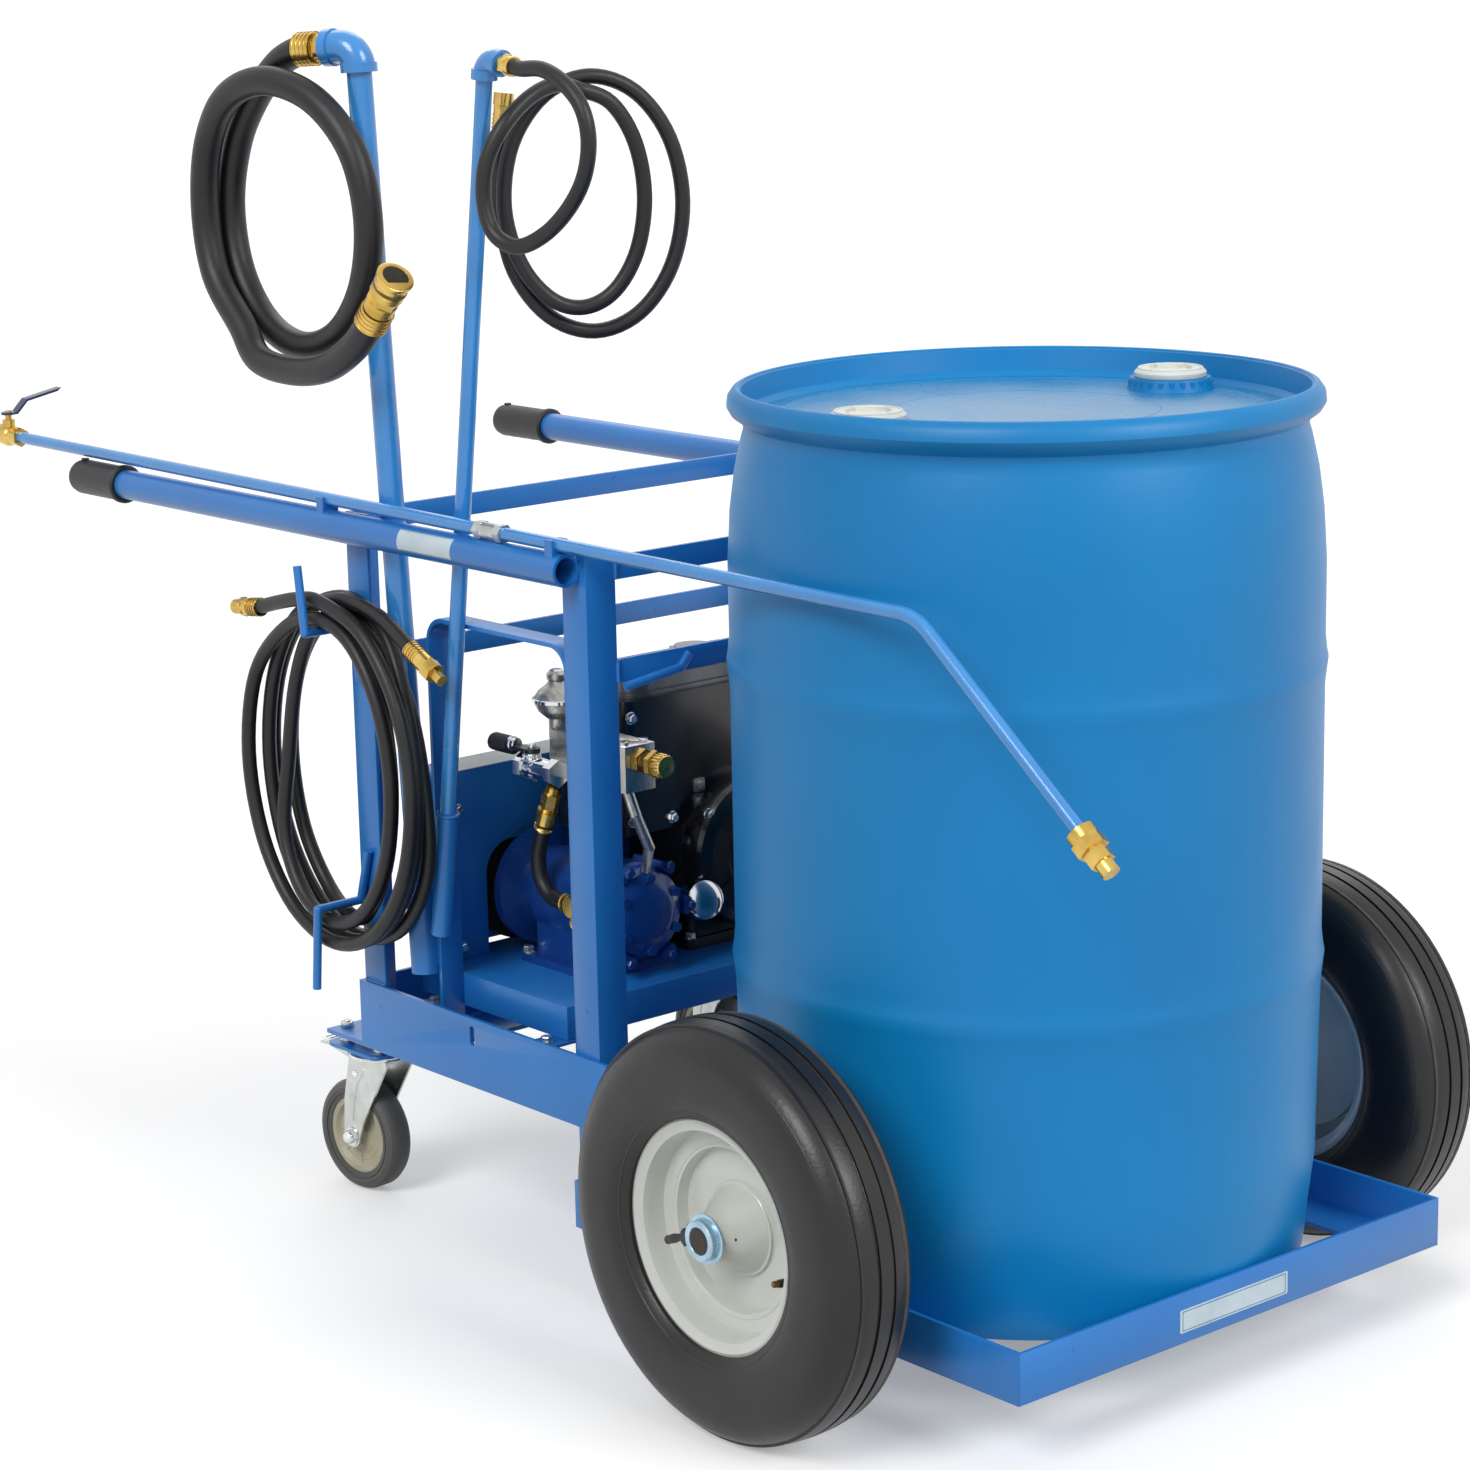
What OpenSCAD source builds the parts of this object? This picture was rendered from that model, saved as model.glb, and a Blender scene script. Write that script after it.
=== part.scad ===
// Wheeled sprayer cart: drum platform on two wheels, pump chassis on two casters.
// Millimetres. +X points to the drum end, +Y to the left of the person pushing, +Z up.
// The origin lies on the floor, in the middle of the cart.

/* [Angle iron] */
// Leg of the platform's angle iron
platform_leg = 50.8; // [45:0.1:56]
// Leg of the chassis rails' angle iron
rail_leg = 76.2; // [70:0.1:82]
// Leg of the posts' angle iron
post_leg = 38.1; // [32:0.1:42]
// Wall of all the angle iron
iron_wall = 4.8; // [4:0.1:6]

/* [Frame] */
// Half of the width over the side rails
half_w = 297; // [290:1:305]
// Front face of the platform
front_x = 789; // [780:1:800]
// Rear end of the platform's side rails
platform_rear_x = 142; // [136:1:145]
// Rear face of the bar behind the drum
drum_stop_x = 203; // [196:1:210]
// Underside of the platform
platform_z = 76; // [70:1:82]
// Underside of the chassis rails
rail_z = 187.2; // [180:0.1:194]
// Rear face of the chassis
chassis_rear_x = -232; // [-240:1:-226]
// Front end of the chassis rails
chassis_front_x = 200; // [194:1:206]
// Length of rail flange that carries the caster behind the chassis
caster_shelf = 68; // [60:1:80]
// Front face of the front posts
front_post_x = 184; // [178:1:190]
// Top of the posts
post_top_z = 784; // [770:1:800]

/* [Cross bars] */
// Height of a flat cross bar
bar_h = 24; // [18:1:30]
// Top of the lower rear cross bar
rear_mid_bar_z = 632; // [610:1:650]
// Drop of the upper front cross bar under the posts' tops
top_bar_drop = 4; // [0:1:20]
// Top of the lower front cross bar
front_mid_bar_z = 675; // [655:1:700]
// Diameter of the bent rod on the front cross bar
bent_rod_d = 9.5; // [6:0.5:12]

/* [Push handles] */
// Outer diameter of the handle tube
handle_d = 33.4; // [30:0.1:38]
// Wall of the handle tube
handle_wall = 3.4; // [2:0.1:5]
// Drop of the handle's axis under the posts' tops
handle_drop = 13.3; // [10:0.1:20]
// Front end of the handle tube
handle_front_x = 175; // [165:1:185]
// Rear end of the rubber grip
grip_rear_x = -742; // [-760:1:-730]
// Length of the rubber grip
grip_l = 103; // [95:1:115]
// Outer diameter of the rubber grip
grip_d = 40; // [38:0.5:44]
// Depth of the finger hollows
finger_depth = 1.8; // [1:0.1:2.5]

/* [Deck, hoop and sockets] */
// Half of the width of the engine deck
deck_half_w = 245; // [240:1:250]
// Top of the engine deck
deck_z = 286; // [280:1:292]
// Front edge of the deck
deck_front_x = 71; // [60:1:80]
// Rear edge of the deck
deck_rear_x = -186; // [-188:1:-170]
// Depth of the deck's skirt
deck_skirt = 37; // [30:1:40]
// Sheet of the deck and the belt guard
sheet_t = 3; // [2:0.1:4]
// Width of a deck clip
clip_w = 34; // [24:1:44]
// Width of the hoop's flat bar
hoop_w = 29; // [26:0.5:29.5]
// Thickness of the hoop's flat bar
hoop_t = 5; // [4:0.1:6]
// Rear face of the hoop
hoop_rear_x = -114; // [-116:1:-113]
// Front face of the hoop
hoop_front_x = 126; // [120:1:132]
// Top of the hoop
hoop_z = 683; // [670:1:700]
// Outer corner radius of the hoop
hoop_r = 28; // [15:1:45]
// Thickness of the gussets that hold the sockets
gusset_t = 5; // [3:0.5:7]
// Wall of the tube sockets
socket_wall = 2.6; // [2:0.1:3.4]
// Radial clearance of a tube in its socket
socket_fit = 0.4; // [0.3:0.05:0.5]
// Depth of the suction tube's socket
suction_socket_l = 135; // [110:1:150]
// Depth of the return tube's socket
return_socket_l = 137; // [110:1:150]

/* [Dip tubes] */
// Outer diameter of the suction tube
suction_d = 26.7; // [25:0.1:27]
// Outer diameter of the return tube
return_d = 17.1; // [15:0.1:18]
// Length of the suction tube
suction_l = 953; // [900:1:1000]
// Length of the return tube
return_l = 908; // [860:1:950]
// Lean of the suction tube to the rear, degrees
suction_lean = 3.3; // [2.5:0.1:3.8]
// Lean of the return tube to the front, degrees
return_lean = 8.1; // [7.5:0.1:8.6]
// Outward turn of the suction elbow, degrees
suction_turn = 200; // [195:1:205]

/* [Hoses] */
// Outer diameter of the suction hose
suction_hose_d = 31; // [26:0.5:31]
// Outer diameter of the return hose
return_hose_d = 16; // [12:0.5:16]
// Outer diameter of the spray hose
spray_hose_d = 16; // [13:0.5:16]
// Outer diameter of the supply hose
supply_hose_d = 17; // [12:0.5:17]
// Rod of the hose hooks
hook_d = 9.5; // [7:0.5:10]
// Reach of the hose hooks
hook_reach = 61.5; // [61:0.5:66]

/* [Drum] */
// X of the drum's axis
drum_x = 504; // [500:1:508]
// Largest diameter of the drum
drum_d = 585; // [570:1:588]
// Height of the drum
drum_h = 875; // [860:1:890]
// Diameter of the base ring that the drum stands on
drum_base_d = 542; // [530:1:560]
// Distance of the bungs from the drum's axis
bung_offset = 205; // [190:1:215]
// Diameter of the bung's head
bung_d = 72; // [60:1:78]

/* [Main wheels] */
// X of the main axle
axle_x = 523.7; // [515:0.1:530]
// Diameter of the tyre
tyre_d = 406.4; // [396:0.1:412]
// Width of the tyre
tyre_w = 101; // [92:1:104]
// Width over the rim's flanges
rim_w = 74; // [68:1:80]
// Diameter of the rim's flange
rim_d = 227; // [220:1:234]
// Distance of the wheel's middle from the cart's middle
wheel_y = 400; // [396:1:404]
// Diameter of the stub axle
axle_d = 25.4; // [22:0.1:28]
// Radial running clearance of wheels, pins and swivels
run_fit = 0.05; // [0.03:0.01:0.08]
// Gap between a moving piece and its stop
rest_gap = 0.3; // [0.2:0.05:0.5]

/* [Casters] */
// X of the swivel axis
swivel_x = -258; // [-262:1:-254]
// Distance of the swivel axis from the cart's middle
swivel_y = 254; // [250:1:258]
// Trail of the caster wheel behind the swivel axis
caster_trail = 33; // [28:1:38]
// Diameter of the caster wheel
caster_d = 127; // [120:1:130]
// Width of the caster wheel
caster_w = 32; // [28:1:36]
// Length of the caster's top plate
plate_l = 92; // [86:1:100]
// Width of the caster's top plate
plate_w = 83; // [76:1:88]
// Spacing of the plate's bolts along X
plate_bolt_x = 62; // [56:1:66]
// Spacing of the plate's bolts along Y
plate_bolt_y = 46; // [40:1:50]
// Diameter of the plate's bolts
plate_bolt_d = 8; // [6:0.5:9]
// Height of the spacer nuts over the plate
plate_drop = 11; // [8:0.5:14]
// Turn of each caster towards its side of the cart, degrees
caster_turn = 5.4; // [0:0.1:10]

/* [Pump and engine] */
// Y of the pump's shaft
pump_y = -112; // [-116:1:-108]
// Z of the pump's shaft
pump_z = 356; // [354:1:360]
// Radius of the pump's crankcase
pump_r = 52; // [46:1:56]
// Front face of the pump's cover
pump_front_x = 54; // [48:1:60]
// Y of the engine's shaft
engine_y = 60; // [50:1:70]
// Z of the engine's shaft
engine_z = 392; // [385:1:400]
// Front face of the belt guard
guard_front_x = -151; // [-153:1:-149]
// Depth of the belt guard
guard_depth = 51; // [46:1:54]
// Top of the belt guard
guard_z = 497; // [490:1:505]
// Width of the belt guard
guard_w = 385; // [370:1:400]

/* [Spray wand] */
// Outer diameter of the wand's pipe
wand_d = 13.7; // [12:0.1:15]
// Pitch of the wand towards the front, degrees
wand_pitch = 0.36; // [0.3:0.02:0.5]
// Rear end of the wand's pipe
wand_rear_x = -872; // [-880:1:-860]
// X where the wand bends down
wand_bend_x = 655; // [640:1:660]
// Radius of the wand's bend
wand_bend_r = 60; // [50:1:80]
// Angle of the bent end below the straight, degrees
wand_drop = 38.3; // [35:0.1:40]
// Length of the bent end
wand_tip_l = 236; // [215:1:240]
// Length of the valve's lever
wand_lever_l = 66; // [60:1:70]

/* [Hidden] */

$fn = 48;
eps = 0.01;
big = 2000;
// Depth that a raised form reaches into the solid that it grows from
merge = 1;
// Gap between a hose's end and its coupling, and the straight start of a hose
hose_fit = 0.3;
hose_lead = 2;
right = -1;
left = 1;

blue = "#3f86d6";
deep_blue = "#1f4f9e";
drum_blue = "#0f7fc4";
black = "#1c1c1e";
steel = "#b9bcc0";
white = "#eeeeec";
brass = "#c9a23a";
grey = "#77777a";
cream = "#d8cfae";

// ---- shared profiles and helpers ----

angle_root = 3;

// Angle iron section with its corner at the origin and a rounded root.
module angle_section(leg, wall) {
    square([leg, wall]);
    square([wall, leg]);
    translate([wall, wall]) difference() {
        square(angle_root);
        translate([angle_root, angle_root]) circle(angle_root, $fn = 24);
    }
}

// Lays a profile's x on +Y and its y on +Z, and runs it along +X.
module along_x(length) {
    rotate([90, 0, 90]) linear_extrude(length) children();
}

// Lays a profile's x on +X and its y on +Z, and runs it along -Y.
module along_minus_y(length) {
    rotate([90, 0, 0]) linear_extrude(length) children();
}

module both_sides() {
    children();
    mirror([0, 1, 0]) children();
}

module rod_x(d, length) {
    rotate([0, 90, 0]) cylinder(d = d, h = length);
}

module hex_x(flats, length) {
    rotate([0, 90, 0]) cylinder(d = flats / cos(30), h = length, $fn = 6);
}

// Round bar that follows straight stretches, with a slightly fuller ball at each bend.
bend_swell = 0.4;
module bent_rod(points, d) {
    for (i = [0 : len(points) - 2]) {
        run = points[i + 1] - points[i];
        flat = norm([run.x, run.y]);
        translate(points[i]) rotate([0, atan2(flat, run.z), atan2(run.y, run.x)])
            cylinder(d = d, h = norm(run), $fn = 24);
        if (i > 0) translate(points[i]) sphere(d = d + bend_swell, $fn = 24);
    }
}

module rounded_block(size, r) {
    translate([r, r, 0]) linear_extrude(size.z) union() {
        for (x = [0, size.x - 2 * r], y = [0, size.y - 2 * r]) translate([x, y]) circle(r, $fn = 32);
        translate([0, -r]) square([size.x - 2 * r, size.y]);
        translate([-r, 0]) square([size.x, size.y - 2 * r]);
    }
}

// ---- smooth routes and tubes ----

function unit(v) = v / norm(v);
function flip(list) = [for (i = [len(list) - 1 : -1 : 0]) list[i]];
function spline(a, b, c, d, t) = 0.5 * (2 * b + (c - a) * t
    + (2 * a - 5 * b + 4 * c - d) * t * t + (3 * b - a - 3 * c + d) * t * t * t);
function smooth(p, steps) = [
    for (i = [0 : len(p) - 2]) for (k = [0 : steps - 1])
        spline(p[max(i - 1, 0)], p[i], p[i + 1], p[min(i + 2, len(p) - 1)], k / steps),
    p[len(p) - 1]
];
function tangent(p, i) = unit(p[min(i + 1, len(p) - 1)] - p[max(i - 1, 0)]);
function least_gap(p, d, skip) =
    min([for (i = [0 : len(p) - 1]) for (j = [i + skip : 1 : len(p) - 1]) norm(p[i] - p[j])]) - d;
function route_length(p) = [for (i = [1 : len(p) - 1]) norm(p[i] - p[i - 1])]
    * [for (i = [1 : len(p) - 1]) 1];

// Tube of straight facets along a route; up is never parallel to the route.
module tube_along(p, d, sides, up) {
    last = (len(p) - 1) * sides;
    rings = [for (i = [0 : len(p) - 1]) let (t = tangent(p, i), u = unit(cross(t, up)), w = cross(u, t))
        for (k = [0 : sides - 1]) p[i] + d / 2 * (cos(360 * k / sides) * u + sin(360 * k / sides) * w)];
    walls = [for (i = [0 : len(p) - 2]) for (k = [0 : sides - 1])
        let (a = i * sides + k, b = i * sides + (k + 1) % sides)
        for (face = [[a, b, b + sides], [a, b + sides, a + sides]]) face];
    caps = [for (k = [1 : sides - 2]) for (face = [[0, k + 1, k], [last, last + k, last + k + 1]]) face];
    polyhedron(rings, concat(walls, caps), convexity = 10);
}

// ---- derived places ----

post_face_y = half_w - iron_wall;
rear_post_x = chassis_rear_x + iron_wall;
platform_top = platform_z + iron_wall;
rail_floor = rail_z + iron_wall;
rail_top = rail_z + rail_leg;
handle_y = post_face_y + handle_d / 2;
handle_z = post_top_z - handle_drop;
grip_end_t = 8;
handle_rear_x = grip_rear_x + grip_end_t;
hoop_out_y = deck_half_w + hoop_w;
axle_z = tyre_d / 2;
caster_z = caster_d / 2;
caster_x = swivel_x - caster_trail;
plate_t = 3.5;
plate_top = rail_z - plate_drop;
race_top = plate_top - plate_t - rest_gap;
drum_z = platform_top + rest_gap;
drum_top = drum_z + drum_h;

// Sockets: where each tube's axis meets the socket floor.
socket_floor = 4;
suction_off = 4.3;
return_off = 9.2;
suction_foot_x = -130.4;
suction_foot_z = 290;
return_foot_x = -93.2;
return_foot_z = 341;
suction_base = [suction_foot_x, -(hoop_out_y + suction_off), suction_foot_z];
return_base = [return_foot_x, -(hoop_out_y + return_off), return_foot_z];

function lean_out(base, lean, turn, out, up) = base + [
    out * cos(turn) * cos(lean) + up * sin(lean),
    out * sin(turn),
    up * cos(lean) - out * cos(turn) * sin(lean)];

module on_tube(base, lean) {
    translate(base) rotate([0, lean, 0]) children();
}

// ---- platform and chassis ----

// Half-space in front of the mitre at the platform's right front corner.
module mitre_front() {
    translate([front_x, -half_w, -big / 2]) rotate([0, 0, 45]) translate([0, -big / 2, 0]) cube(big);
}

module platform_front_bar() {
    color(blue) intersection() {
        translate([front_x, half_w, platform_z]) rotate([0, 0, 180]) rotate([90, 0, 0])
            mirror([0, 0, 1]) linear_extrude(2 * half_w) angle_section(platform_leg, iron_wall);
        mitre_front();
        mirror([0, 1, 0]) mitre_front();
    }
}

module platform_rails() {
    color(blue) {
        both_sides() difference() {
            translate([platform_rear_x, -half_w, platform_z])
                along_x(front_x - platform_rear_x) angle_section(platform_leg, iron_wall);
            mitre_front();
        }
        inner_y = half_w - platform_leg;
        translate([drum_stop_x, inner_y, platform_z])
            along_minus_y(2 * inner_y) angle_section(platform_leg, iron_wall);
        both_sides() translate([drum_stop_x, -post_face_y, platform_top])
            cube([iron_wall, post_face_y - inner_y, platform_leg - iron_wall]);
    }
}

slot_hole_x = -27;
slot_hole_z = 244;
slot_hole_w = 8;
slot_hole_l = 22;
clip_t = 3;
clip_h = 25;
clip_tuck = 12;
clip_rows = [-158, 40];
post_relief = 4;

module rail_slot() {
    translate([slot_hole_x, -half_w - eps, slot_hole_z]) rotate([-90, 0, 0]) {
        for (s = [-1, 1]) translate([0, s * (slot_hole_l - slot_hole_w) / 2, 0])
            cylinder(d = slot_hole_w, h = iron_wall + 2 * eps);
        translate([-slot_hole_w / 2, -(slot_hole_l - slot_hole_w) / 2, 0])
            cube([slot_hole_w, slot_hole_l - slot_hole_w, iron_wall + 2 * eps]);
    }
}

module plate_bolt_holes() {
    for (y = [-1, 1])
        translate([swivel_x - plate_bolt_x / 2, -swivel_y + y * plate_bolt_y / 2, rail_z - eps])
            cylinder(d = plate_bolt_d + 2 * run_fit, h = iron_wall + 2 * eps);
}

module chassis_rail() {
    shelf_x = chassis_rear_x - caster_shelf;
    difference() {
        translate([shelf_x, -half_w, rail_z])
            along_x(chassis_front_x - shelf_x) angle_section(rail_leg, iron_wall);
        translate([shelf_x - eps, -half_w - eps, rail_floor])
            cube([caster_shelf + eps, rail_leg, rail_leg]);
        translate([front_post_x - post_leg, -post_face_y, rail_z - eps])
            cube([big, rail_leg, iron_wall + post_relief]);
        translate([rear_post_x, -post_face_y, rail_floor]) cube([post_leg, iron_wall, iron_wall]);
        rail_slot();
        plate_bolt_holes();
    }
    for (x = clip_rows) {
        clip_z = deck_z - deck_skirt - clip_t;
        translate([x, -post_face_y, clip_z]) cube([clip_w, post_face_y - deck_half_w + clip_tuck, clip_t]);
        translate([x, -post_face_y, clip_z - clip_h]) cube([clip_w, clip_t, clip_h]);
    }
}

module chassis_side_rails() {
    color(blue) both_sides() chassis_rail();
}

module chassis_rear_bar() {
    inner_y = half_w - rail_leg;
    color(blue) {
        translate([chassis_rear_x, inner_y, rail_z])
            along_minus_y(2 * inner_y) angle_section(rail_leg, iron_wall);
        both_sides() translate([chassis_rear_x, -post_face_y, rail_floor])
            cube([iron_wall, post_face_y - inner_y, rail_leg - iron_wall]);
    }
}

bracket_t = 6;
bracket_w = 110;
bracket_rise = 34;
collar_l = 9;
collar_d = 40;
axle_proud = 1;

// Plate on the outside of the platform rail, with the stub axle welded through it.
module axle_bracket() {
    translate([axle_x, -half_w, 0]) rotate([90, 0, 0]) linear_extrude(bracket_t) {
        polygon([[-bracket_w / 2, platform_z], [bracket_w / 2, platform_z],
            [bracket_w / 2, platform_z + platform_leg], [bracket_rise, axle_z],
            [-bracket_rise, axle_z], [-bracket_w / 2, platform_z + platform_leg]]);
        translate([0, axle_z]) circle(bracket_rise);
    }
    hub_out = wheel_y + hub_front + rest_gap + collar_l;
    translate([axle_x, -half_w - bracket_t, axle_z]) rotate([90, 0, 0])
        cylinder(d = axle_d, h = hub_out + axle_proud - half_w - bracket_t);
}

module axle_brackets() {
    color(blue) both_sides() axle_bracket();
}

// ---- posts, cross bars and handles ----

// The front posts stand clear of the rounded root of the platform's rails.
module front_posts() {
    foot_z = platform_top + angle_root;
    color(blue) both_sides() translate([front_post_x, -post_face_y, foot_z]) mirror([1, 0, 0])
        linear_extrude(post_top_z - foot_z) angle_section(post_leg, iron_wall);
}

module rear_posts() {
    color(blue) both_sides() translate([rear_post_x, -post_face_y, rail_floor])
        linear_extrude(post_top_z - rail_floor) angle_section(post_leg, iron_wall);
}

module cross_bar(x, top) {
    bar_y = post_face_y - post_leg;
    translate([x, -bar_y, top - bar_h]) cube([iron_wall, 2 * bar_y, bar_h]);
}

// Bent rod welded to the lower front bar: y and height over the bar's top at each bend.
bent_rod_at = [[-248, -28], [-176, -19], [-164, -6]];

module cross_bars() {
    front_bar_x = front_post_x - iron_wall;
    rod_x0 = front_post_x + bent_rod_d / 2 - merge;
    color(blue) {
        cross_bar(rear_post_x, post_top_z);
        cross_bar(rear_post_x, rear_mid_bar_z);
        cross_bar(front_bar_x, post_top_z - top_bar_drop);
        cross_bar(front_bar_x, front_mid_bar_z);
        bent_rod([for (p = bent_rod_at) [rod_x0, p[0], front_mid_bar_z + p[1]]], bent_rod_d);
    }
}

rest_rows = [-235, 160];
rest_l = 12;
rest_w = 20;
rest_rise = 14;

// The wand's axis passes this far over the handle's axis.
wand_over = 26.3;
wand_ref_z = handle_z + wand_over;

module wand_frame() {
    translate([0, -handle_y, wand_ref_z]) rotate([0, wand_pitch, 0]) children();
}

module wand_rest(x) {
    difference() {
        translate([x - rest_l / 2, -handle_y - rest_w / 2, handle_z])
            cube([rest_l, rest_w, handle_d / 2 + rest_rise]);
        translate([x - rest_l, -handle_y, handle_z]) rod_x(handle_d, 2 * rest_l);
        wand_frame() translate([x - rest_l, 0, 0]) rod_x(wand_d + 2 * rest_gap, 2 * rest_l);
        wand_frame() translate([x - rest_l, -wand_d / 2 - rest_gap, 0])
            cube([2 * rest_l, wand_d + 2 * rest_gap, rest_w]);
    }
}

module push_handles() {
    color(blue) {
        both_sides() translate([handle_rear_x, -handle_y, handle_z]) difference() {
            rod_x(handle_d, handle_front_x - handle_rear_x);
            translate([-eps, 0, 0])
                rod_x(handle_d - 2 * handle_wall, handle_front_x - handle_rear_x + 2 * eps);
        }
        for (x = rest_rows) wand_rest(x);
    }
}

fingers = 4;
finger_pitch = 19;
finger_r = 11;
finger_start = 22;
grip_lip_d = 44;
grip_lip_l = 10;
grip_nose_l = 12;
grip_nub_x = 14;
grip_nub_d = 9;
grip_nub_h = 1.5;
grip_fit = 0.1;

module grip() {
    translate([grip_rear_x, -handle_y, handle_z]) difference() {
        union() {
            rotate([0, 90, 0]) rotate_extrude() polygon([[0, 0], [12, 0.6], [16, 2.5], [18.6, 6],
                [grip_d / 2, grip_nose_l], [grip_d / 2, grip_l - grip_lip_l],
                [grip_lip_d / 2, grip_l - grip_lip_l + 3],
                [grip_lip_d / 2, grip_l - 2], [grip_d / 2, grip_l], [0, grip_l]]);
            translate([grip_nub_x, 0, grip_d / 2 - merge]) cylinder(d = grip_nub_d, h = grip_nub_h + merge);
        }
        translate([handle_rear_x - grip_rear_x, 0, 0]) rod_x(handle_d + 2 * grip_fit, grip_l);
        for (i = [0 : fingers - 1])
            translate([finger_start + i * finger_pitch, 0, -grip_d / 2 - finger_r + finger_depth])
                rotate([90, 0, 0]) cylinder(r = finger_r, h = grip_lip_d, center = true);
    }
}

module right_grip() {
    color(black) grip();
}

module left_grip() {
    color(black) mirror([0, 1, 0]) grip();
}

// ---- deck, hoop, sockets and hooks ----

module engine_deck() {
    size_x = deck_front_x - deck_rear_x;
    color(blue) translate([deck_rear_x, -deck_half_w, deck_z - deck_skirt]) difference() {
        cube([size_x, 2 * deck_half_w, deck_skirt]);
        translate([sheet_t, sheet_t, -eps])
            cube([size_x - 2 * sheet_t, 2 * (deck_half_w - sheet_t), deck_skirt - sheet_t + eps]);
    }
}

module hoop_outline(inset) {
    w = hoop_front_x - hoop_rear_x - 2 * inset;
    r = hoop_r - inset;
    translate([hoop_rear_x + inset, rail_floor]) {
        square([w, hoop_z - rail_floor - inset - r]);
        translate([r, 0]) square([w - 2 * r, hoop_z - rail_floor - inset]);
        for (x = [r, w - r]) translate([x, hoop_z - rail_floor - inset - r]) circle(r);
    }
}

module flat_bar_hoop() {
    color(blue) translate([0, -deck_half_w, 0]) along_minus_y(hoop_w) difference() {
        hoop_outline(0);
        translate([0, -eps]) hoop_outline(hoop_t);
    }
}

// Closed cup round a tube's foot, with a gusset that reaches back to the hoop's leg.
module socket(base, lean, d, depth, face_x) {
    bore = d + 2 * socket_fit;
    outer = bore + 2 * socket_wall;
    difference() {
        union() {
            on_tube(base, lean) cylinder(d = outer, h = depth);
            gusset(base, lean, depth, face_x);
        }
        on_tube(base, lean) translate([0, 0, socket_floor]) cylinder(d = bore, h = depth);
    }
}

gusset_inset = 10;

module gusset(base, lean, depth, face_x) {
    foot = lean_out(base, lean, 0, 0, gusset_inset);
    head = lean_out(base, lean, 0, 0, depth - gusset_inset);
    translate([0, -hoop_out_y + gusset_t, 0]) along_minus_y(gusset_t)
        polygon([[foot.x, foot.z], [head.x, head.z], [face_x, head.z], [face_x, foot.z]]);
}

module tube_sockets() {
    color(blue) {
        socket(suction_base, -suction_lean, suction_d, suction_socket_l, hoop_rear_x);
        socket(return_base, return_lean, return_d, return_socket_l, hoop_rear_x + hoop_t);
    }
}

hook_x = -222;
hook_top_x = -204;
upper_hook_z = 660;
lower_hook_z = 356;
hook_tail = 58;
hook_tip_up = 72;
hook_tip_down = 91;
hook_tip_back = 9;

module hose_hook(arm_z, tail_z, tip_z) {
    near_y = -post_face_y - hook_d / 2;
    far_y = -post_face_y - hook_reach;
    bent_rod([[hook_top_x, near_y, tail_z], [hook_x, near_y, arm_z], [hook_x, far_y, arm_z],
        [hook_x - hook_tip_back, far_y, tip_z]], hook_d);
}

module hose_hooks() {
    color(blue) {
        hose_hook(upper_hook_z, upper_hook_z - hook_tail, upper_hook_z + hook_tip_up);
        hose_hook(lower_hook_z, lower_hook_z + hook_tail, lower_hook_z - hook_tip_down);
    }
}

// ---- main wheels ----

hub_front = 40;
hub_rear = 36;
hub_d = 40;
hub_nose_r = 24;
hub_nose_l = 10;
dish_r = [46, 78];
dish_z = -3;
dish_t = 4;
shelf_r = [80, 97];
shelf_z = [9, 11];
seat_r = 101.6;
seat_t = 3.6;

module rim(side) {
    bore_r = axle_d / 2 + run_fit;
    half = rim_w / 2;
    flange_r = rim_d / 2;
    translate([axle_x, side * wheel_y, axle_z]) rotate([-side * 90, 0, 0]) rotate_extrude($fn = 72)
        polygon([[bore_r, hub_front], [hub_d / 2, hub_front], [hub_nose_r, hub_front - hub_nose_l],
            [dish_r[0], dish_z], [dish_r[1], dish_z], [shelf_r[0], shelf_z[0]], [shelf_r[1], shelf_z[1]],
            [seat_r - 2, half - 8], [seat_r - 0.4, half - 4], [flange_r - 7.5, half - 3],
            [flange_r - 3, half], [flange_r, half - 1], [flange_r, half - 4], [seat_r, half - 6],
            [seat_r, -half + 6], [flange_r, -half + 4], [flange_r, -half], [flange_r - 3.5, -half],
            [seat_r - seat_t, -half + 7], [seat_r - seat_t, shelf_z[1] - dish_t],
            [shelf_r[0] + dish_t, shelf_z[0] - dish_t], [shelf_r[0] + dish_t, dish_z - dish_t],
            [hub_d / 2, dish_z - dish_t], [hub_d / 2, -hub_rear], [bore_r, -hub_rear]]);
}

module right_rim() {
    color(white) rim(right);
}

module left_rim() {
    color(white) rim(left);
}

bead_fit = 0.2;
bead_foot = 4.2;
bead_side = 6.4;
groove_w = 4;
groove_depth = 5;
groove_rows = [-27, -9, 9, 27];
tyre_power = 0.72;

// Round-shouldered section: half an oval over the bead, with a fuller corner than an ellipse.
function tyre_side(a) = [
    tyre_mid_r + (tyre_d / 2 - tyre_mid_r) * sign(sin(a)) * pow(abs(sin(a)), tyre_power)
        * (sin(a) < 0 ? bead_drop : 1),
    tyre_w / 2 * sign(cos(a)) * pow(abs(cos(a)), tyre_power)];
tyre_mid_r = 152;
bead_drop = 0.98;

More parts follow.
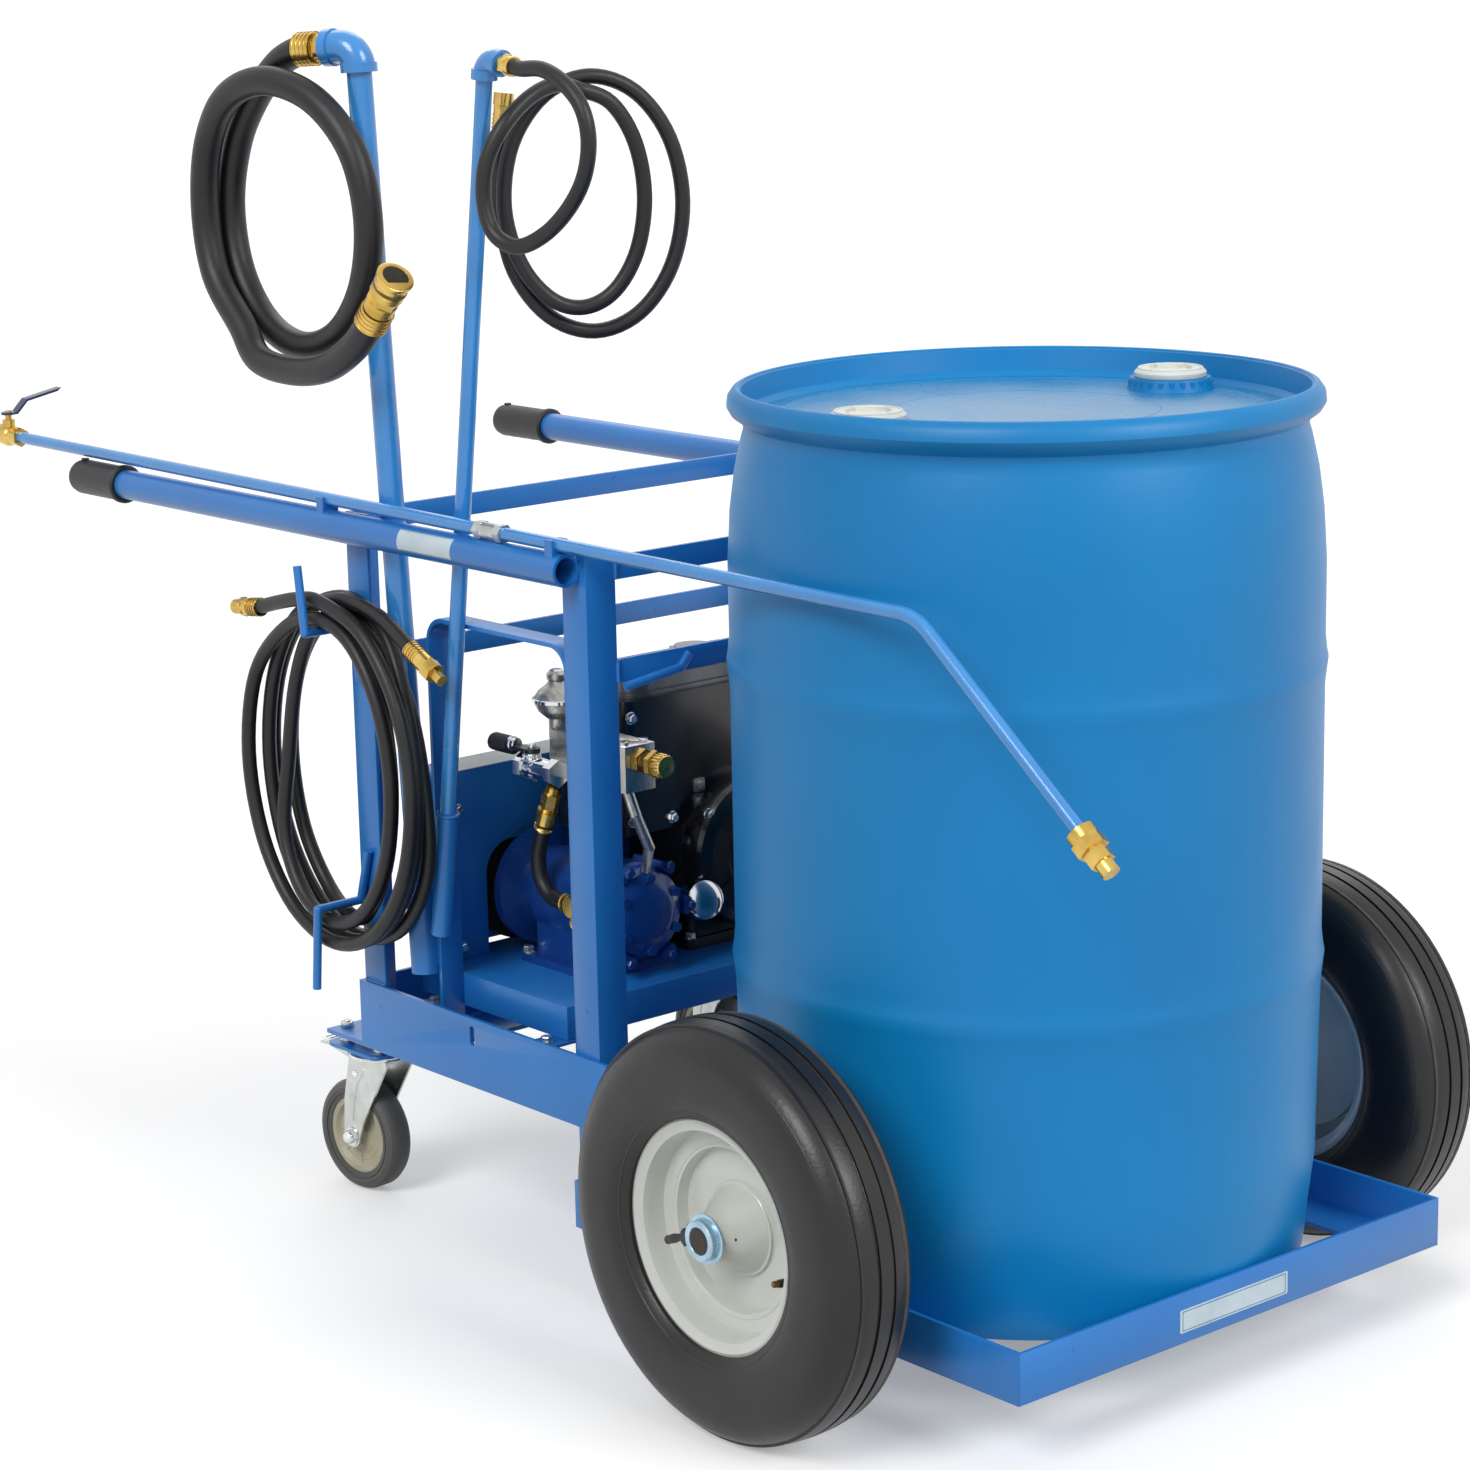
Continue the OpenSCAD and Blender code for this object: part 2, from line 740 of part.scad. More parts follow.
module tyre(side) {
    bead_r = seat_r + bead_fit;
    half = rim_w / 2;
    translate([axle_x, side * wheel_y, axle_z]) rotate([-side * 90, 0, 0]) difference() {
        rotate_extrude($fn = 96) difference() {
            polygon([for (a = [-90 : 6 : 270]) tyre_side(a)]);
            translate([0, -half + bead_foot]) square([bead_r, rim_w - 2 * bead_foot]);
            for (s = [-1, 1]) translate([0, s < 0 ? -half - big : half - bead_side])
                square([rim_d / 2 + bead_fit, big + bead_side]);
            for (t = groove_rows)
                translate([tyre_d / 2 - groove_depth, t - groove_w / 2])
                    square([groove_depth * 2, groove_w]);
        }
    }
}

module right_tyre() {
    color(black) tyre(right);
}

module left_tyre() {
    color(black) tyre(left);
}

// Set collar that keeps the wheel on its stub axle.
module axle_collar() {
    translate([axle_x, -(wheel_y + hub_front + rest_gap), axle_z]) rotate([90, 0, 0]) {
        difference() {
            cylinder(d = collar_d, h = collar_l);
            translate([0, 0, -eps]) cylinder(d = axle_d + 2 * run_fit, h = collar_l + 2 * eps);
        }
    }
}

module axle_collars() {
    color(steel) both_sides() axle_collar();
}

// ---- casters ----

nut_flats = 13;
nut_h = 6;
plate_bolt_end = 8;
plate_r = 8;
race_d = 66;
race_h = 10;
king_d = 16;
king_head = 3;
fork_t = 3;
fork_gap = 1.6;
leg_y = caster_w / 2 + fork_gap;
fork_top_w = 62;
fork_boss_r = 13;
fork_waist = [20, 18];
fork_back = [10, 44];
fork_edge = 6;
core_d = 88;
core_half = 12;
core_hub_half = 15;
core_hub_r = 12;
core_web_half = 7;
bolt_d = 9.5;
bolt_end = 6;
bolt_head_d = 16;
bolt_head_h = 5;
tread_fit = 0.1;

module at_caster(side) {
    if (side == right) translate([swivel_x, -swivel_y, 0]) children();
    else mirror([0, 1, 0]) translate([swivel_x, -swivel_y, 0]) children();
}

module at_fork(side) {
    at_caster(side) rotate([0, 0, caster_turn]) children();
}

// Top plate on four spacer nuts; the rear pair of bolts goes up through the rail.
module caster_plate(side) {
    color(steel) at_caster(side) {
        translate([0, 0, plate_top - plate_t]) difference() {
            translate([-plate_l / 2, -plate_w / 2, 0]) rounded_block([plate_l, plate_w, plate_t], plate_r);
            translate([0, 0, -eps]) cylinder(d = king_d + 2 * run_fit, h = plate_t + 2 * eps);
        }
        for (x = [-1, 1], y = [-1, 1]) translate([x * plate_bolt_x / 2, y * plate_bolt_y / 2, 0]) {
            translate([0, 0, plate_top]) cylinder(d = nut_flats / cos(30), h = plate_drop, $fn = 6);
            if (x < 0) {
                translate([0, 0, rail_z - eps]) cylinder(d = plate_bolt_d, h = iron_wall + plate_bolt_end);
                translate([0, 0, rail_floor + rest_gap])
                    cylinder(d = nut_flats / cos(30), h = nut_h, $fn = 6);
            }
        }
    }
}

module fork_leg() {
    drop = race_top - race_h - caster_z;
    translate([0, 0, caster_z]) along_minus_y(fork_t) difference() {
        union() {
            translate([-caster_trail, 0]) circle(fork_boss_r);
            polygon([[-caster_trail - fork_boss_r, 0], [-caster_trail + fork_boss_r, -1],
                [-caster_trail + fork_waist[0], fork_waist[1]], [fork_top_w / 2, drop - fork_edge],
                [fork_top_w / 2, drop], [-fork_top_w / 2, drop],
                [-caster_trail - fork_back[0], fork_back[1]]]);
        }
        translate([-caster_trail, 0]) circle(d = bolt_d + 2 * run_fit);
        translate([pedal_x, pedal_z - caster_z]) circle(d = pedal_pin_d + 2 * run_fit);
    }
}

module caster_fork(side) {
    color(steel) at_fork(side) {
        translate([0, 0, race_top - race_h]) rotate_extrude() polygon([[0, 0], [race_d / 2 - 4, 0],
            [race_d / 2, 3], [race_d / 2, 6], [race_d / 2 - 6, race_h], [0, race_h]]);
        translate([0, 0, race_top - eps]) cylinder(d = king_d, h = plate_t + rest_gap + king_head);
        translate([-fork_top_w / 2, -leg_y - fork_t, race_top - race_h - fork_t])
            cube([fork_top_w, 2 * (leg_y + fork_t), fork_t + eps]);
        for (s = [-1, 1]) translate([0, s < 0 ? -leg_y : leg_y + fork_t, 0]) fork_leg();
        translate([-caster_trail, leg_y + fork_t + bolt_end, caster_z]) rotate([90, 0, 0])
            cylinder(d = bolt_d, h = 2 * (leg_y + fork_t + bolt_end));
        for (y = [-leg_y - fork_t, leg_y + fork_t + bolt_head_h]) translate([-caster_trail, y, caster_z])
            rotate([90, 0, 0]) cylinder(d = bolt_head_d, h = bolt_head_h, $fn = 6);
    }
}

module caster_core(side) {
    bore_r = bolt_d / 2 + run_fit;
    face = [[bore_r, core_hub_half], [core_hub_r, core_hub_half], [core_hub_r + 1, core_web_half + 2],
        [core_hub_r + 8, core_web_half], [core_d / 2 - 10, core_web_half], [core_d / 2 - 6, core_half],
        [core_d / 2, core_half]];
    color(cream) at_fork(side) translate([-caster_trail, 0, caster_z]) rotate([90, 0, 0])
        rotate_extrude($fn = 72) polygon(concat([for (s = [-1, 1]) for (p = s < 0 ? face : flip(face))
            [p[0], s * p[1]]]));
}

module caster_tread(side) {
    half = caster_w / 2;
    r = caster_d / 2;
    color(grey) at_fork(side) translate([-caster_trail, 0, caster_z]) rotate([90, 0, 0])
        rotate_extrude($fn = 96) polygon([[core_d / 2 + tread_fit, -half + 3], [r - 9, -half],
            [r - 3, -half + 2.5], [r, -half + 8], [r, half - 8], [r - 3, half - 2.5], [r - 9, half],
            [core_d / 2 + tread_fit, half - 3]]);
}

pedal_l = 60;
pedal_w = 34;
pedal_t = 3;
pedal_pin_d = 6;
pedal_x = -24;
pedal_z = 152;
pedal_rise = 14;

// Total-lock pedal: a pressed tongue on a cross pin through the fork's legs.
module caster_pedal(side) {
    color(steel) at_fork(side) translate([pedal_x, 0, pedal_z]) {
        rotate([90, 0, 0]) cylinder(d = pedal_pin_d, h = 2 * (leg_y + fork_t), center = true);
        translate([0, pedal_w / 2, 0]) along_minus_y(pedal_w) polygon([[-2, 0], [2, pedal_t],
            [-pedal_l + 14, pedal_rise], [-pedal_l, pedal_rise - 1], [-pedal_l - 2, pedal_rise - 4],
            [-pedal_l + 12, pedal_rise - pedal_t]]);
    }
}

module right_caster_plate() { caster_plate(right); }
module right_caster_fork() { caster_fork(right); }
module right_caster_core() { caster_core(right); }
module right_caster_tread() { caster_tread(right); }
module right_caster_pedal() { caster_pedal(right); }
module left_caster_plate() { caster_plate(left); }
module left_caster_fork() { caster_fork(left); }
module left_caster_core() { caster_core(left); }
module left_caster_tread() { caster_tread(left); }
module left_caster_pedal() { caster_pedal(left); }

// ---- engine, belt guard and pump ----

engine_rear_x = -125;
engine_front_x = 0;
engine_w = 140;
engine_base_h = 12;
engine_foot = 8;
block_inset = 6;
block_r = 14;
crank_d = 25;
crank_boss_d = 58;
fin_count = 6;
fin_t = 4;
fin_pitch = 10;
fin_inset = 14;
fin_start = 40;
fin_root = 12;
fin_reach = 34;
crank_inset = 14;
cover_z = 430;
cover_top_z = 578;
cover_right_y = -108;
cover_left_y = 172;
cover_r = 22;
recoil_r = 86;
recoil_l = 34;
recoil_hub_r = 16;
recoil_well_r = 42;
recoil_well = 4;

module engine_block() {
    size_x = engine_front_x - engine_rear_x;
    block_x = engine_rear_x + block_inset;
    block_h = cover_z - deck_z - engine_base_h;
    color(black) {
        translate([engine_rear_x, engine_y - engine_w / 2 - engine_foot, deck_z])
            rounded_block([size_x, engine_w + 2 * engine_foot, engine_base_h], engine_foot);
        translate([block_x, engine_y - engine_w / 2, deck_z + engine_base_h])
            rounded_block([size_x - 2 * block_inset, engine_w, block_h], block_r);
        for (i = [0 : fin_count - 1]) translate([engine_rear_x + fin_inset,
                engine_y + engine_w / 2 - fin_root, deck_z + fin_start + i * fin_pitch])
            cube([size_x - 2 * fin_inset, fin_root + fin_reach, fin_t]);
        translate([guard_front_x - guard_depth + crank_inset, engine_y, engine_z])
            rod_x(crank_d, block_x - guard_front_x + guard_depth - crank_inset);
        translate([guard_front_x + rest_gap, engine_y, engine_z])
            rod_x(crank_boss_d, block_x - guard_front_x - rest_gap);
    }
}

muffler_x = [-118, -22];
muffler_y = [178, 236];
muffler_z = [396, 492];
muffler_r = 16;
exhaust_d = 24;
exhaust_y = engine_y + engine_w / 2 + fin_reach + rest_gap;
exhaust_z = 370;
tail_d = 16;
tail_l = 14;

// Muffler beside the shroud, on its elbow from the cylinder's port.
module muffler() {
    mid_x = (muffler_x[0] + muffler_x[1]) / 2;
    mid_y = (muffler_y[0] + muffler_y[1]) / 2;
    size_x = muffler_x[1] - muffler_x[0];
    size_y = muffler_y[1] - muffler_y[0];
    color(steel) {
        difference() {
            union() {
                translate([muffler_x[0], muffler_y[0], muffler_z[0]])
                    rounded_block([size_x, size_y, muffler_z[1] - muffler_z[0]], muffler_r);
                translate([muffler_x[1] - merge, mid_y, muffler_z[0] + tail_d])
                    rod_x(tail_d, tail_l + merge);
            }
            translate([muffler_x[1], mid_y, muffler_z[0] + tail_d]) rod_x(tail_d - sheet_t, tail_l + merge);
        }
        bent_rod([[mid_x, exhaust_y, exhaust_z], [mid_x, mid_y, exhaust_z],
            [mid_x, mid_y, muffler_z[0] + merge]], exhaust_d);
    }
}

// Blower housing and shroud with the round recoil starter on its front.
module engine_cover() {
    size = [engine_front_x - engine_rear_x, cover_left_y - cover_right_y, cover_top_z - cover_z];
    color(black) {
        translate([engine_rear_x, cover_right_y, cover_z]) rounded_block(size, cover_r);
        translate([engine_front_x, engine_y, engine_z]) rotate([0, 90, 0]) rotate_extrude()
            polygon([[0, 0], [recoil_r, 0], [recoil_r, recoil_l - 12], [recoil_r - 4, recoil_l - 5],
                [recoil_r - 14, recoil_l - 3], [recoil_r - 18, recoil_l], [recoil_well_r + 4, recoil_l],
                [recoil_well_r, recoil_l - recoil_well], [recoil_hub_r + 2, recoil_l - recoil_well],
                [recoil_hub_r, recoil_l], [0, recoil_l]]);
    }
}

tank_inset = 6;
tank_lip_h = 5;
tank_step = 4;
tank_h = 20;
tank_r = 46;
cap_x = -42;
cap_y = 34;
neck_d = 34;
neck_h = 14;
cap_d = 52;
cap_h = 18;
cap_crown = 3;
knurl_d = 5;

// Shallow pressed tank over the shroud, with a lip and a filler neck.
module fuel_tank() {
    size_x = engine_front_x - engine_rear_x - 2 * tank_inset;
    size_y = cover_left_y - cover_right_y - 2 * tank_inset;
    color(steel) {
        translate([engine_rear_x + tank_inset, cover_right_y + tank_inset, cover_top_z]) {
            rounded_block([size_x, size_y, tank_lip_h], tank_r);
            translate([tank_step, tank_step, tank_lip_h]) rounded_block([size_x - 2 * tank_step,
                size_y - 2 * tank_step, tank_h - tank_lip_h], tank_r - tank_step);
        }
        translate([cap_x, cap_y, cover_top_z + tank_h]) cylinder(d = neck_d, h = neck_h);
    }
}

module fuel_cap() {
    color(black) translate([cap_x, cap_y, cover_top_z + tank_h + rest_gap]) difference() {
        union() {
            cylinder(d = cap_d, h = cap_h - cap_crown);
            cylinder(d = cap_d - 8, h = cap_h);
            for (a = [0 : 30 : 330]) rotate(a) translate([cap_d / 2, 0, cap_crown])
                cylinder(d = knurl_d, h = cap_h - 2 * cap_crown);
        }
        translate([0, 0, -eps]) cylinder(d = neck_d + 2 * run_fit, h = neck_h + eps);
    }
}

guard_right_y = -235;
guard_r = 20;
window_left_y = -46;
window_right_y = -178;
window_top_z = 410;
window_r = 35;
crank_hole_d = 66;

module guard_outline(inset) {
    r = guard_r - inset;
    h = guard_z - deck_z - inset;
    translate([guard_right_y + inset, deck_z]) {
        square([guard_w - 2 * inset, h - r]);
        translate([r, 0]) square([guard_w - 2 * inset - 2 * r, h]);
        for (y = [r, guard_w - 2 * inset - r]) translate([y, h - r]) circle(r);
    }
}

module guard_window() {
    w = window_left_y - window_right_y;
    h = window_top_z - deck_z;
    translate([window_right_y, deck_z - eps]) {
        square([w, h - window_r]);
        translate([window_r, 0]) square([w - 2 * window_r, h]);
        for (y = [window_r, w - window_r]) translate([y, h - window_r]) circle(window_r);
    }
}

// Folded sheet housing: front wall with a window for the pump, side wall and back wall.
module belt_guard() {
    color(blue) difference() {
        translate([guard_front_x - guard_depth, 0, 0]) along_x(guard_depth) guard_outline(0);
        translate([guard_front_x - guard_depth + sheet_t, 0, 0]) along_x(guard_depth - 2 * sheet_t)
            translate([0, -eps]) guard_outline(sheet_t);
        translate([guard_front_x - sheet_t - eps, 0, 0]) along_x(sheet_t + 2 * eps) guard_window();
        translate([guard_front_x - sheet_t - eps, engine_y, engine_z])
            rod_x(crank_hole_d, sheet_t + 2 * eps);
    }
}

pump_pulley_r = 62;
engine_pulley_r = 38;
belt_w = 13;
belt_t = 7;
belt_inset = 17;
belt_fit = 0.2;
pulley_side = 3;
pulley_flange_t = 2.5;

function belt_tangent(c, r, turn) = c + r * [cos(turn), sin(turn)];

module belt_outline(grow) {
    pump_c = [pump_y, pump_z];
    engine_c = [engine_y, engine_z];
    span = engine_c - pump_c;
    heading = atan2(span.y, span.x);
    open = acos((pump_pulley_r - engine_pulley_r) / norm(span));
    translate(pump_c) circle(pump_pulley_r + grow);
    translate(engine_c) circle(engine_pulley_r + grow);
    polygon([belt_tangent(pump_c, pump_pulley_r + grow, heading + open),
        belt_tangent(engine_c, engine_pulley_r + grow, heading + open),
        belt_tangent(engine_c, engine_pulley_r + grow, heading - open),
        belt_tangent(pump_c, pump_pulley_r + grow, heading - open)]);
}

module pulley(y, z, r, shaft_d) {
    pulley_w = belt_w + 2 * pulley_side;
    translate([guard_front_x - guard_depth + belt_inset - pulley_side, y, z]) rotate([0, 90, 0])
        difference() {
            union() {
                cylinder(r = r - belt_fit, h = pulley_w);
                for (flange_z = [0, pulley_w - pulley_flange_t]) translate([0, 0, flange_z])
                    cylinder(r = r + belt_t - 1, h = pulley_flange_t);
            }
            translate([0, 0, -eps]) cylinder(d = shaft_d + 2 * run_fit, h = pulley_w + 2 * eps);
        }
}

module belt_drive() {
    color(black) {
        translate([guard_front_x - guard_depth + belt_inset, 0, 0]) along_x(belt_w) difference() {
            belt_outline(belt_t);
            belt_outline(0);
        }
        pulley(pump_y, pump_z, pump_pulley_r, pump_shaft_d);
        pulley(engine_y, engine_z, engine_pulley_r, crank_d);
    }
}

pump_shaft_d = 24;
pump_flange_r = 66;
pump_flange_t = 14;
pump_rear_x = -142;
pump_cover_r = 49;
pump_cover_t = 26;
pump_waist_r = 46;
pump_foot = [128, 116, 9];
pump_foot_x = -108;
pump_foot_r = 6;
pump_stand = [96, 88];
pump_stand_x = -92;
pump_stand_drop = 20;
pump_boss_size = [44, 34];
pump_boss_x = -14;
pump_boss_r = 5;
pump_shaft_inset = 10;
pump_boss_top_z = 420;
pump_boss_y = -166;
pump_port_z = 370;
pump_port_x = 6;
port_d = 26;
port_out_y = -168;
cover_bolts = 6;
cover_bolt_r = 40;
cover_bolt_flats = 10;
cover_bolt_l = 12;

module pump_body() {
    length = pump_front_x - pump_rear_x;
    seam = length - pump_cover_t;
    color(deep_blue) {
        translate([pump_rear_x, pump_y, pump_z]) rotate([0, 90, 0]) rotate_extrude()
            polygon([[0, 0], [pump_flange_r - 3, 0], [pump_flange_r, 3], [pump_flange_r, pump_flange_t],
                [pump_waist_r, pump_flange_t + 8], [pump_waist_r, 46], [pump_r, 52], [pump_r, seam - 8],
                [pump_r - 5, seam - 4], [pump_r - 5, seam], [pump_cover_r + 2, seam],
                [pump_cover_r + 2, seam + 8], [pump_cover_r - 3, length - 9],
                [pump_cover_r - 18, length - 2], [14, length], [0, length]]);
        for (a = [30 : 360 / cover_bolts : 330])
            translate([pump_front_x - cover_bolt_l, pump_y + cover_bolt_r * cos(a),
                    pump_z + cover_bolt_r * sin(a)])
                hex_x(cover_bolt_flats, cover_bolt_l);
        translate([guard_front_x - guard_depth + pump_shaft_inset, pump_y, pump_z])
            rod_x(pump_shaft_d, pump_rear_x - guard_front_x + guard_depth - pump_shaft_inset + eps);
        translate([pump_stand_x, pump_y - pump_stand.y / 2, deck_z])
            cube(concat(pump_stand, pump_z - deck_z - pump_stand_drop));
        translate([pump_foot_x, pump_y - pump_foot.y / 2, deck_z]) rounded_block(pump_foot, pump_foot_r);
        translate([pump_boss_x, pump_boss_y, pump_z])
            rounded_block(concat(pump_boss_size, pump_boss_top_z - pump_z), pump_boss_r);
        translate([pump_port_x, pump_y, pump_port_z]) rotate([90, 0, 0])
            cylinder(d = port_d, h = pump_y - port_out_y);
    }
}

manifold_x = [-44, 84];
manifold_y = -168;
manifold_w = 40;
manifold_z = [504, 554];
manifold_holes = [-20, 20, 60];
manifold_hole_d = 9;
manifold_hole_l = 6;
column_x = 8;
column_d = 26;
column_nut_flats = 36;
column_nut_h = 14;
line_d = 12;
line_x = 60;

// Steel manifold on its riser, with the bent return line to the pump's cover.
module pump_manifold() {
    mid_y = manifold_y + manifold_w / 2;
    color(steel) {
        difference() {
            translate([manifold_x[0], manifold_y, manifold_z[0]])
                cube([manifold_x[1] - manifold_x[0], manifold_w, manifold_z[1] - manifold_z[0]]);
            for (x = manifold_holes) translate([x, mid_y, manifold_z[1] - manifold_hole_l])
                cylinder(d = manifold_hole_d, h = manifold_hole_l + eps);
        }
        translate([column_x, mid_y, pump_boss_top_z]) {
            cylinder(d = column_d, h = manifold_z[0] - pump_boss_top_z);
            cylinder(d = column_nut_flats / cos(30), h = column_nut_h, $fn = 6);
        }
        bent_rod([[line_x, mid_y, manifold_z[0]], [line_x + 4, mid_y + 8, manifold_z[0] - 30],
            [line_x - 4, pump_y - 4, manifold_z[0] - 72],
            [line_x - 16, pump_y, pump_z + pump_cover_r - merge]], line_d);
    }
}

bell_x = -54;
bell_y = -148;
bell_z = 562;
bell_post_z = 520;
bell_post_d = 20;

// Pressure bell on a short post at the manifold's rear end.
module pressure_bell() {
    color(steel) translate([bell_x, bell_y, 0]) {
        translate([0, 0, bell_post_z]) cylinder(d = bell_post_d, h = bell_z - bell_post_z);
        translate([0, 0, bell_z]) rotate_extrude() polygon([[0, 0], [12, 0], [21, 8], [26, 18], [26, 22],
            [20, 30], [12, 36], [9, 40], [11, 43], [11, 48], [8, 51], [0, 52]]);
    }
}

relief_y = -150;
relief_z = 538;
fitting_top = [-24, -180, 496.4];
fitting_foot = [-43, -178, 454];
port_elbow_d = 22;
port_elbow_l = 20;
port_sleeve_l = 12;

module pump_fittings() {
    run = fitting_foot - fitting_top;
    color(brass) {
        translate([manifold_x[1], relief_y, relief_z]) {
            hex_x(24, 12);
            translate([12, 0, 0]) rod_x(20, 12);
            translate([24, 0, 0]) hex_x(26, 7);
            translate([31, 0, 0]) rod_x(22, 15);
        }
        translate(fitting_top) rotate([0, atan2(norm([run.x, run.y]), run.z), atan2(run.y, run.x)]) {
            cylinder(d = 14, h = norm(run));
            translate([0, 0, 8]) cylinder(d = 20, h = 18, $fn = 6);
            translate([0, 0, norm(run) - 16]) cylinder(d = 22, h = 16);
        }
        translate([pump_port_x, port_out_y, pump_port_z]) rotate([90, 0, 0])
            cylinder(d = port_elbow_d, h = port_elbow_l);
        translate([pump_port_x - port_sleeve_l, port_out_y - port_elbow_l / 2, pump_port_z])
            rod_x(supply_hose_d + 3, port_sleeve_l);
    }
}

valve_x = [-68, -14];
valve_nut_flats = 26;
valve_y = manifold_y - rest_gap - valve_nut_flats / 2;
valve_z = 512;
valve_d = 24;
stem_x = -58;
stem_d = 9;
stem_h = 23;
stem_boss_d = 18;
stem_boss_h = 16;
valve_nut_l = 12;

module outlet_valve() {
    color(steel) {
        translate([valve_x[0], valve_y, valve_z]) rod_x(valve_d, valve_x[1] - valve_x[0]);
        for (x = [valve_x[0] - 8, valve_x[1] - 10]) translate([x, valve_y, valve_z])
            hex_x(valve_nut_flats, valve_nut_l);
        translate([stem_x, valve_y, valve_z]) {
            cylinder(d = stem_boss_d, h = stem_boss_h);
            cylinder(d = stem_d, h = stem_h);
        }
    }
}

lever_l = 66;
lever_w = 14;
lever_t = 4;
lever_hub_h = 5;
knob_l = 34;
knob_d = 19;

module outlet_lever() {
    color(black) translate([stem_x, valve_y, valve_z + stem_boss_h + rest_gap]) difference() {
        union() {
            cylinder(d = stem_boss_d, h = lever_hub_h);
            translate([-lever_l + knob_l, -lever_w / 2, 0]) cube([lever_l - knob_l, lever_w, lever_t]);
            translate([-lever_l, 0, lever_t / 2]) rod_x(knob_d, knob_l);
        }
        translate([0, 0, -eps]) cylinder(d = stem_d + 2 * run_fit, h = lever_hub_h + 2 * eps);
    }
}

supply_points = [fitting_foot + unit(fitting_foot - fitting_top), [-50, -178, 436], [-57, -178, 412],
    [-53, -178, 388], [-38, -178, 373], [-20, -178, 370],
    [pump_port_x - port_sleeve_l - hose_fit, -178, 370]];
supply_route = smooth(supply_points, 3);

module supply_hose() {
    color(black) tube_along(supply_route, supply_hose_d, 12, [0, 1, 0]);
}

// ---- drum ----

rib_z = [314, 609];
rib_h = 3;
lid_depth = 30;
boss_h = 14;
bung_head_h = 9;
bung_neck_d = 58;
bung_neck_h = 20;
bung_recess_d = 44;
bung_slot = [52, 8];
bung_recess = 3;
boss_spread = [8, 16];
bung_z = drum_top - lid_depth + boss_h;

function rib_points(r, z) = [[r, z - 26], [r + rib_h * 0.5, z - 12], [r + rib_h, z],
    [r + rib_h * 0.6, z + 5], [r, z + 22]];

module drum() {
    r = drum_d / 2 - rib_h;
    b = drum_base_d / 2;
    h = drum_h;
    color(drum_blue) translate([drum_x, 0, drum_z]) difference() {
        union() {
            rotate_extrude($fn = 120) polygon(concat(
                [[0, 12], [b - 26, 12], [b - 18, 0], [b - 6, 0], [b, 3], [b + 4, 14], [b + 7, 38],
                    [b + 9, 60], [b + 15, 110], [r - 2, 200]],
                rib_points(r, rib_z[0]), rib_points(r, rib_z[1]),
                [[r, h - 170], [r - 3, h - 120], [r - 8, h - 82], [r - 15, h - 50], [r - 18, h - 40],
                    [r - 17, h - 33], [r - 6, h - 25], [r - 2, h - 18], [r - 3, h - 9], [r - 8, h - 2],
                    [r - 12, h], [r - 16, h - 3], [r - 20, h - lid_depth + 6], [r - 28, h - lid_depth],
                    [0, h - lid_depth + 3]]));
            for (s = [right, left]) translate([0, s * bung_offset, h - lid_depth - 1])
                cylinder(d1 = bung_d + boss_spread[1], d2 = bung_d + boss_spread[0], h = boss_h + 1);
        }
        for (s = [right, left]) translate([0, s * bung_offset, h - lid_depth + boss_h - bung_neck_h])
            cylinder(d = bung_neck_d + 2 * run_fit, h = bung_neck_h + 1);
    }
}

// Bung with a low crowned head, a wrench recess and its neck.
module bung(side) {
    color(white) translate([drum_x, side * bung_offset, bung_z + rest_gap]) difference() {
        union() {
            rotate_extrude() polygon([[0, 0], [bung_d / 2 - 1, 0], [bung_d / 2, 1.5], [bung_d / 2, 5],
                [bung_d / 2 - 3, bung_head_h - 1], [bung_d / 2 - 8, bung_head_h], [0, bung_head_h]]);
            translate([0, 0, -bung_neck_h + 2]) cylinder(d = bung_neck_d, h = bung_neck_h - 2 + eps);
        }
        translate([0, 0, bung_head_h - bung_recess]) {
            cylinder(d = bung_recess_d, h = bung_head_h);
            for (a = [0, 90]) rotate(a) translate([-bung_slot.x / 2, -bung_slot.y / 2, 0])
                cube(concat(bung_slot, bung_head_h));
        }
    }
}

module right_bung() { bung(right); }
module left_bung() { bung(left); }

// ---- dip tubes and their elbows ----

// Quarter bend from straight up to straight out, with a band on each end.
module elbow(body_d, band_d, bend_r, reach, rise) {
    band_l = 10;
    translate([bend_r, 0, rise - bend_r]) rotate([90, 0, 0]) rotate([0, 0, 90])
        rotate_extrude(angle = 90) translate([bend_r, 0]) circle(d = body_d);
    cylinder(d = body_d, h = rise - bend_r);
    cylinder(d = band_d, h = band_l);
    translate([bend_r, 0, rise]) rod_x(body_d, reach - bend_r);
    translate([reach - band_l, 0, rise]) rod_x(band_d, band_l);
}

suction_elbow_d = [35, 39];
suction_elbow_r = 22;
suction_elbow_reach = 39;
suction_elbow_rise = 27;
suction_nipple_l = 13;
return_elbow_d = [23, 27];
return_elbow_r = 15;
return_elbow_reach = 28;
return_elbow_rise = 20;
return_nipple_l = 19;

suction_foot = lean_out(suction_base, -suction_lean, 0, 0, socket_floor + rest_gap);
return_foot = lean_out(return_base, return_lean, 0, 0, socket_floor + rest_gap);

module suction_tube() {
    color(blue) on_tube(suction_foot, -suction_lean) {
        cylinder(d = suction_d, h = suction_l);
        translate([0, 0, suction_l]) rotate([0, 0, suction_turn])
            elbow(suction_elbow_d[0], suction_elbow_d[1], suction_elbow_r, suction_elbow_reach,
                suction_elbow_rise);
    }
}

module return_tube() {
    color(blue) on_tube(return_foot, return_lean) {
        cylinder(d = return_d, h = return_l);
        translate([0, 0, return_l]) elbow(return_elbow_d[0], return_elbow_d[1], return_elbow_r,
            return_elbow_reach, return_elbow_rise);
    }
}

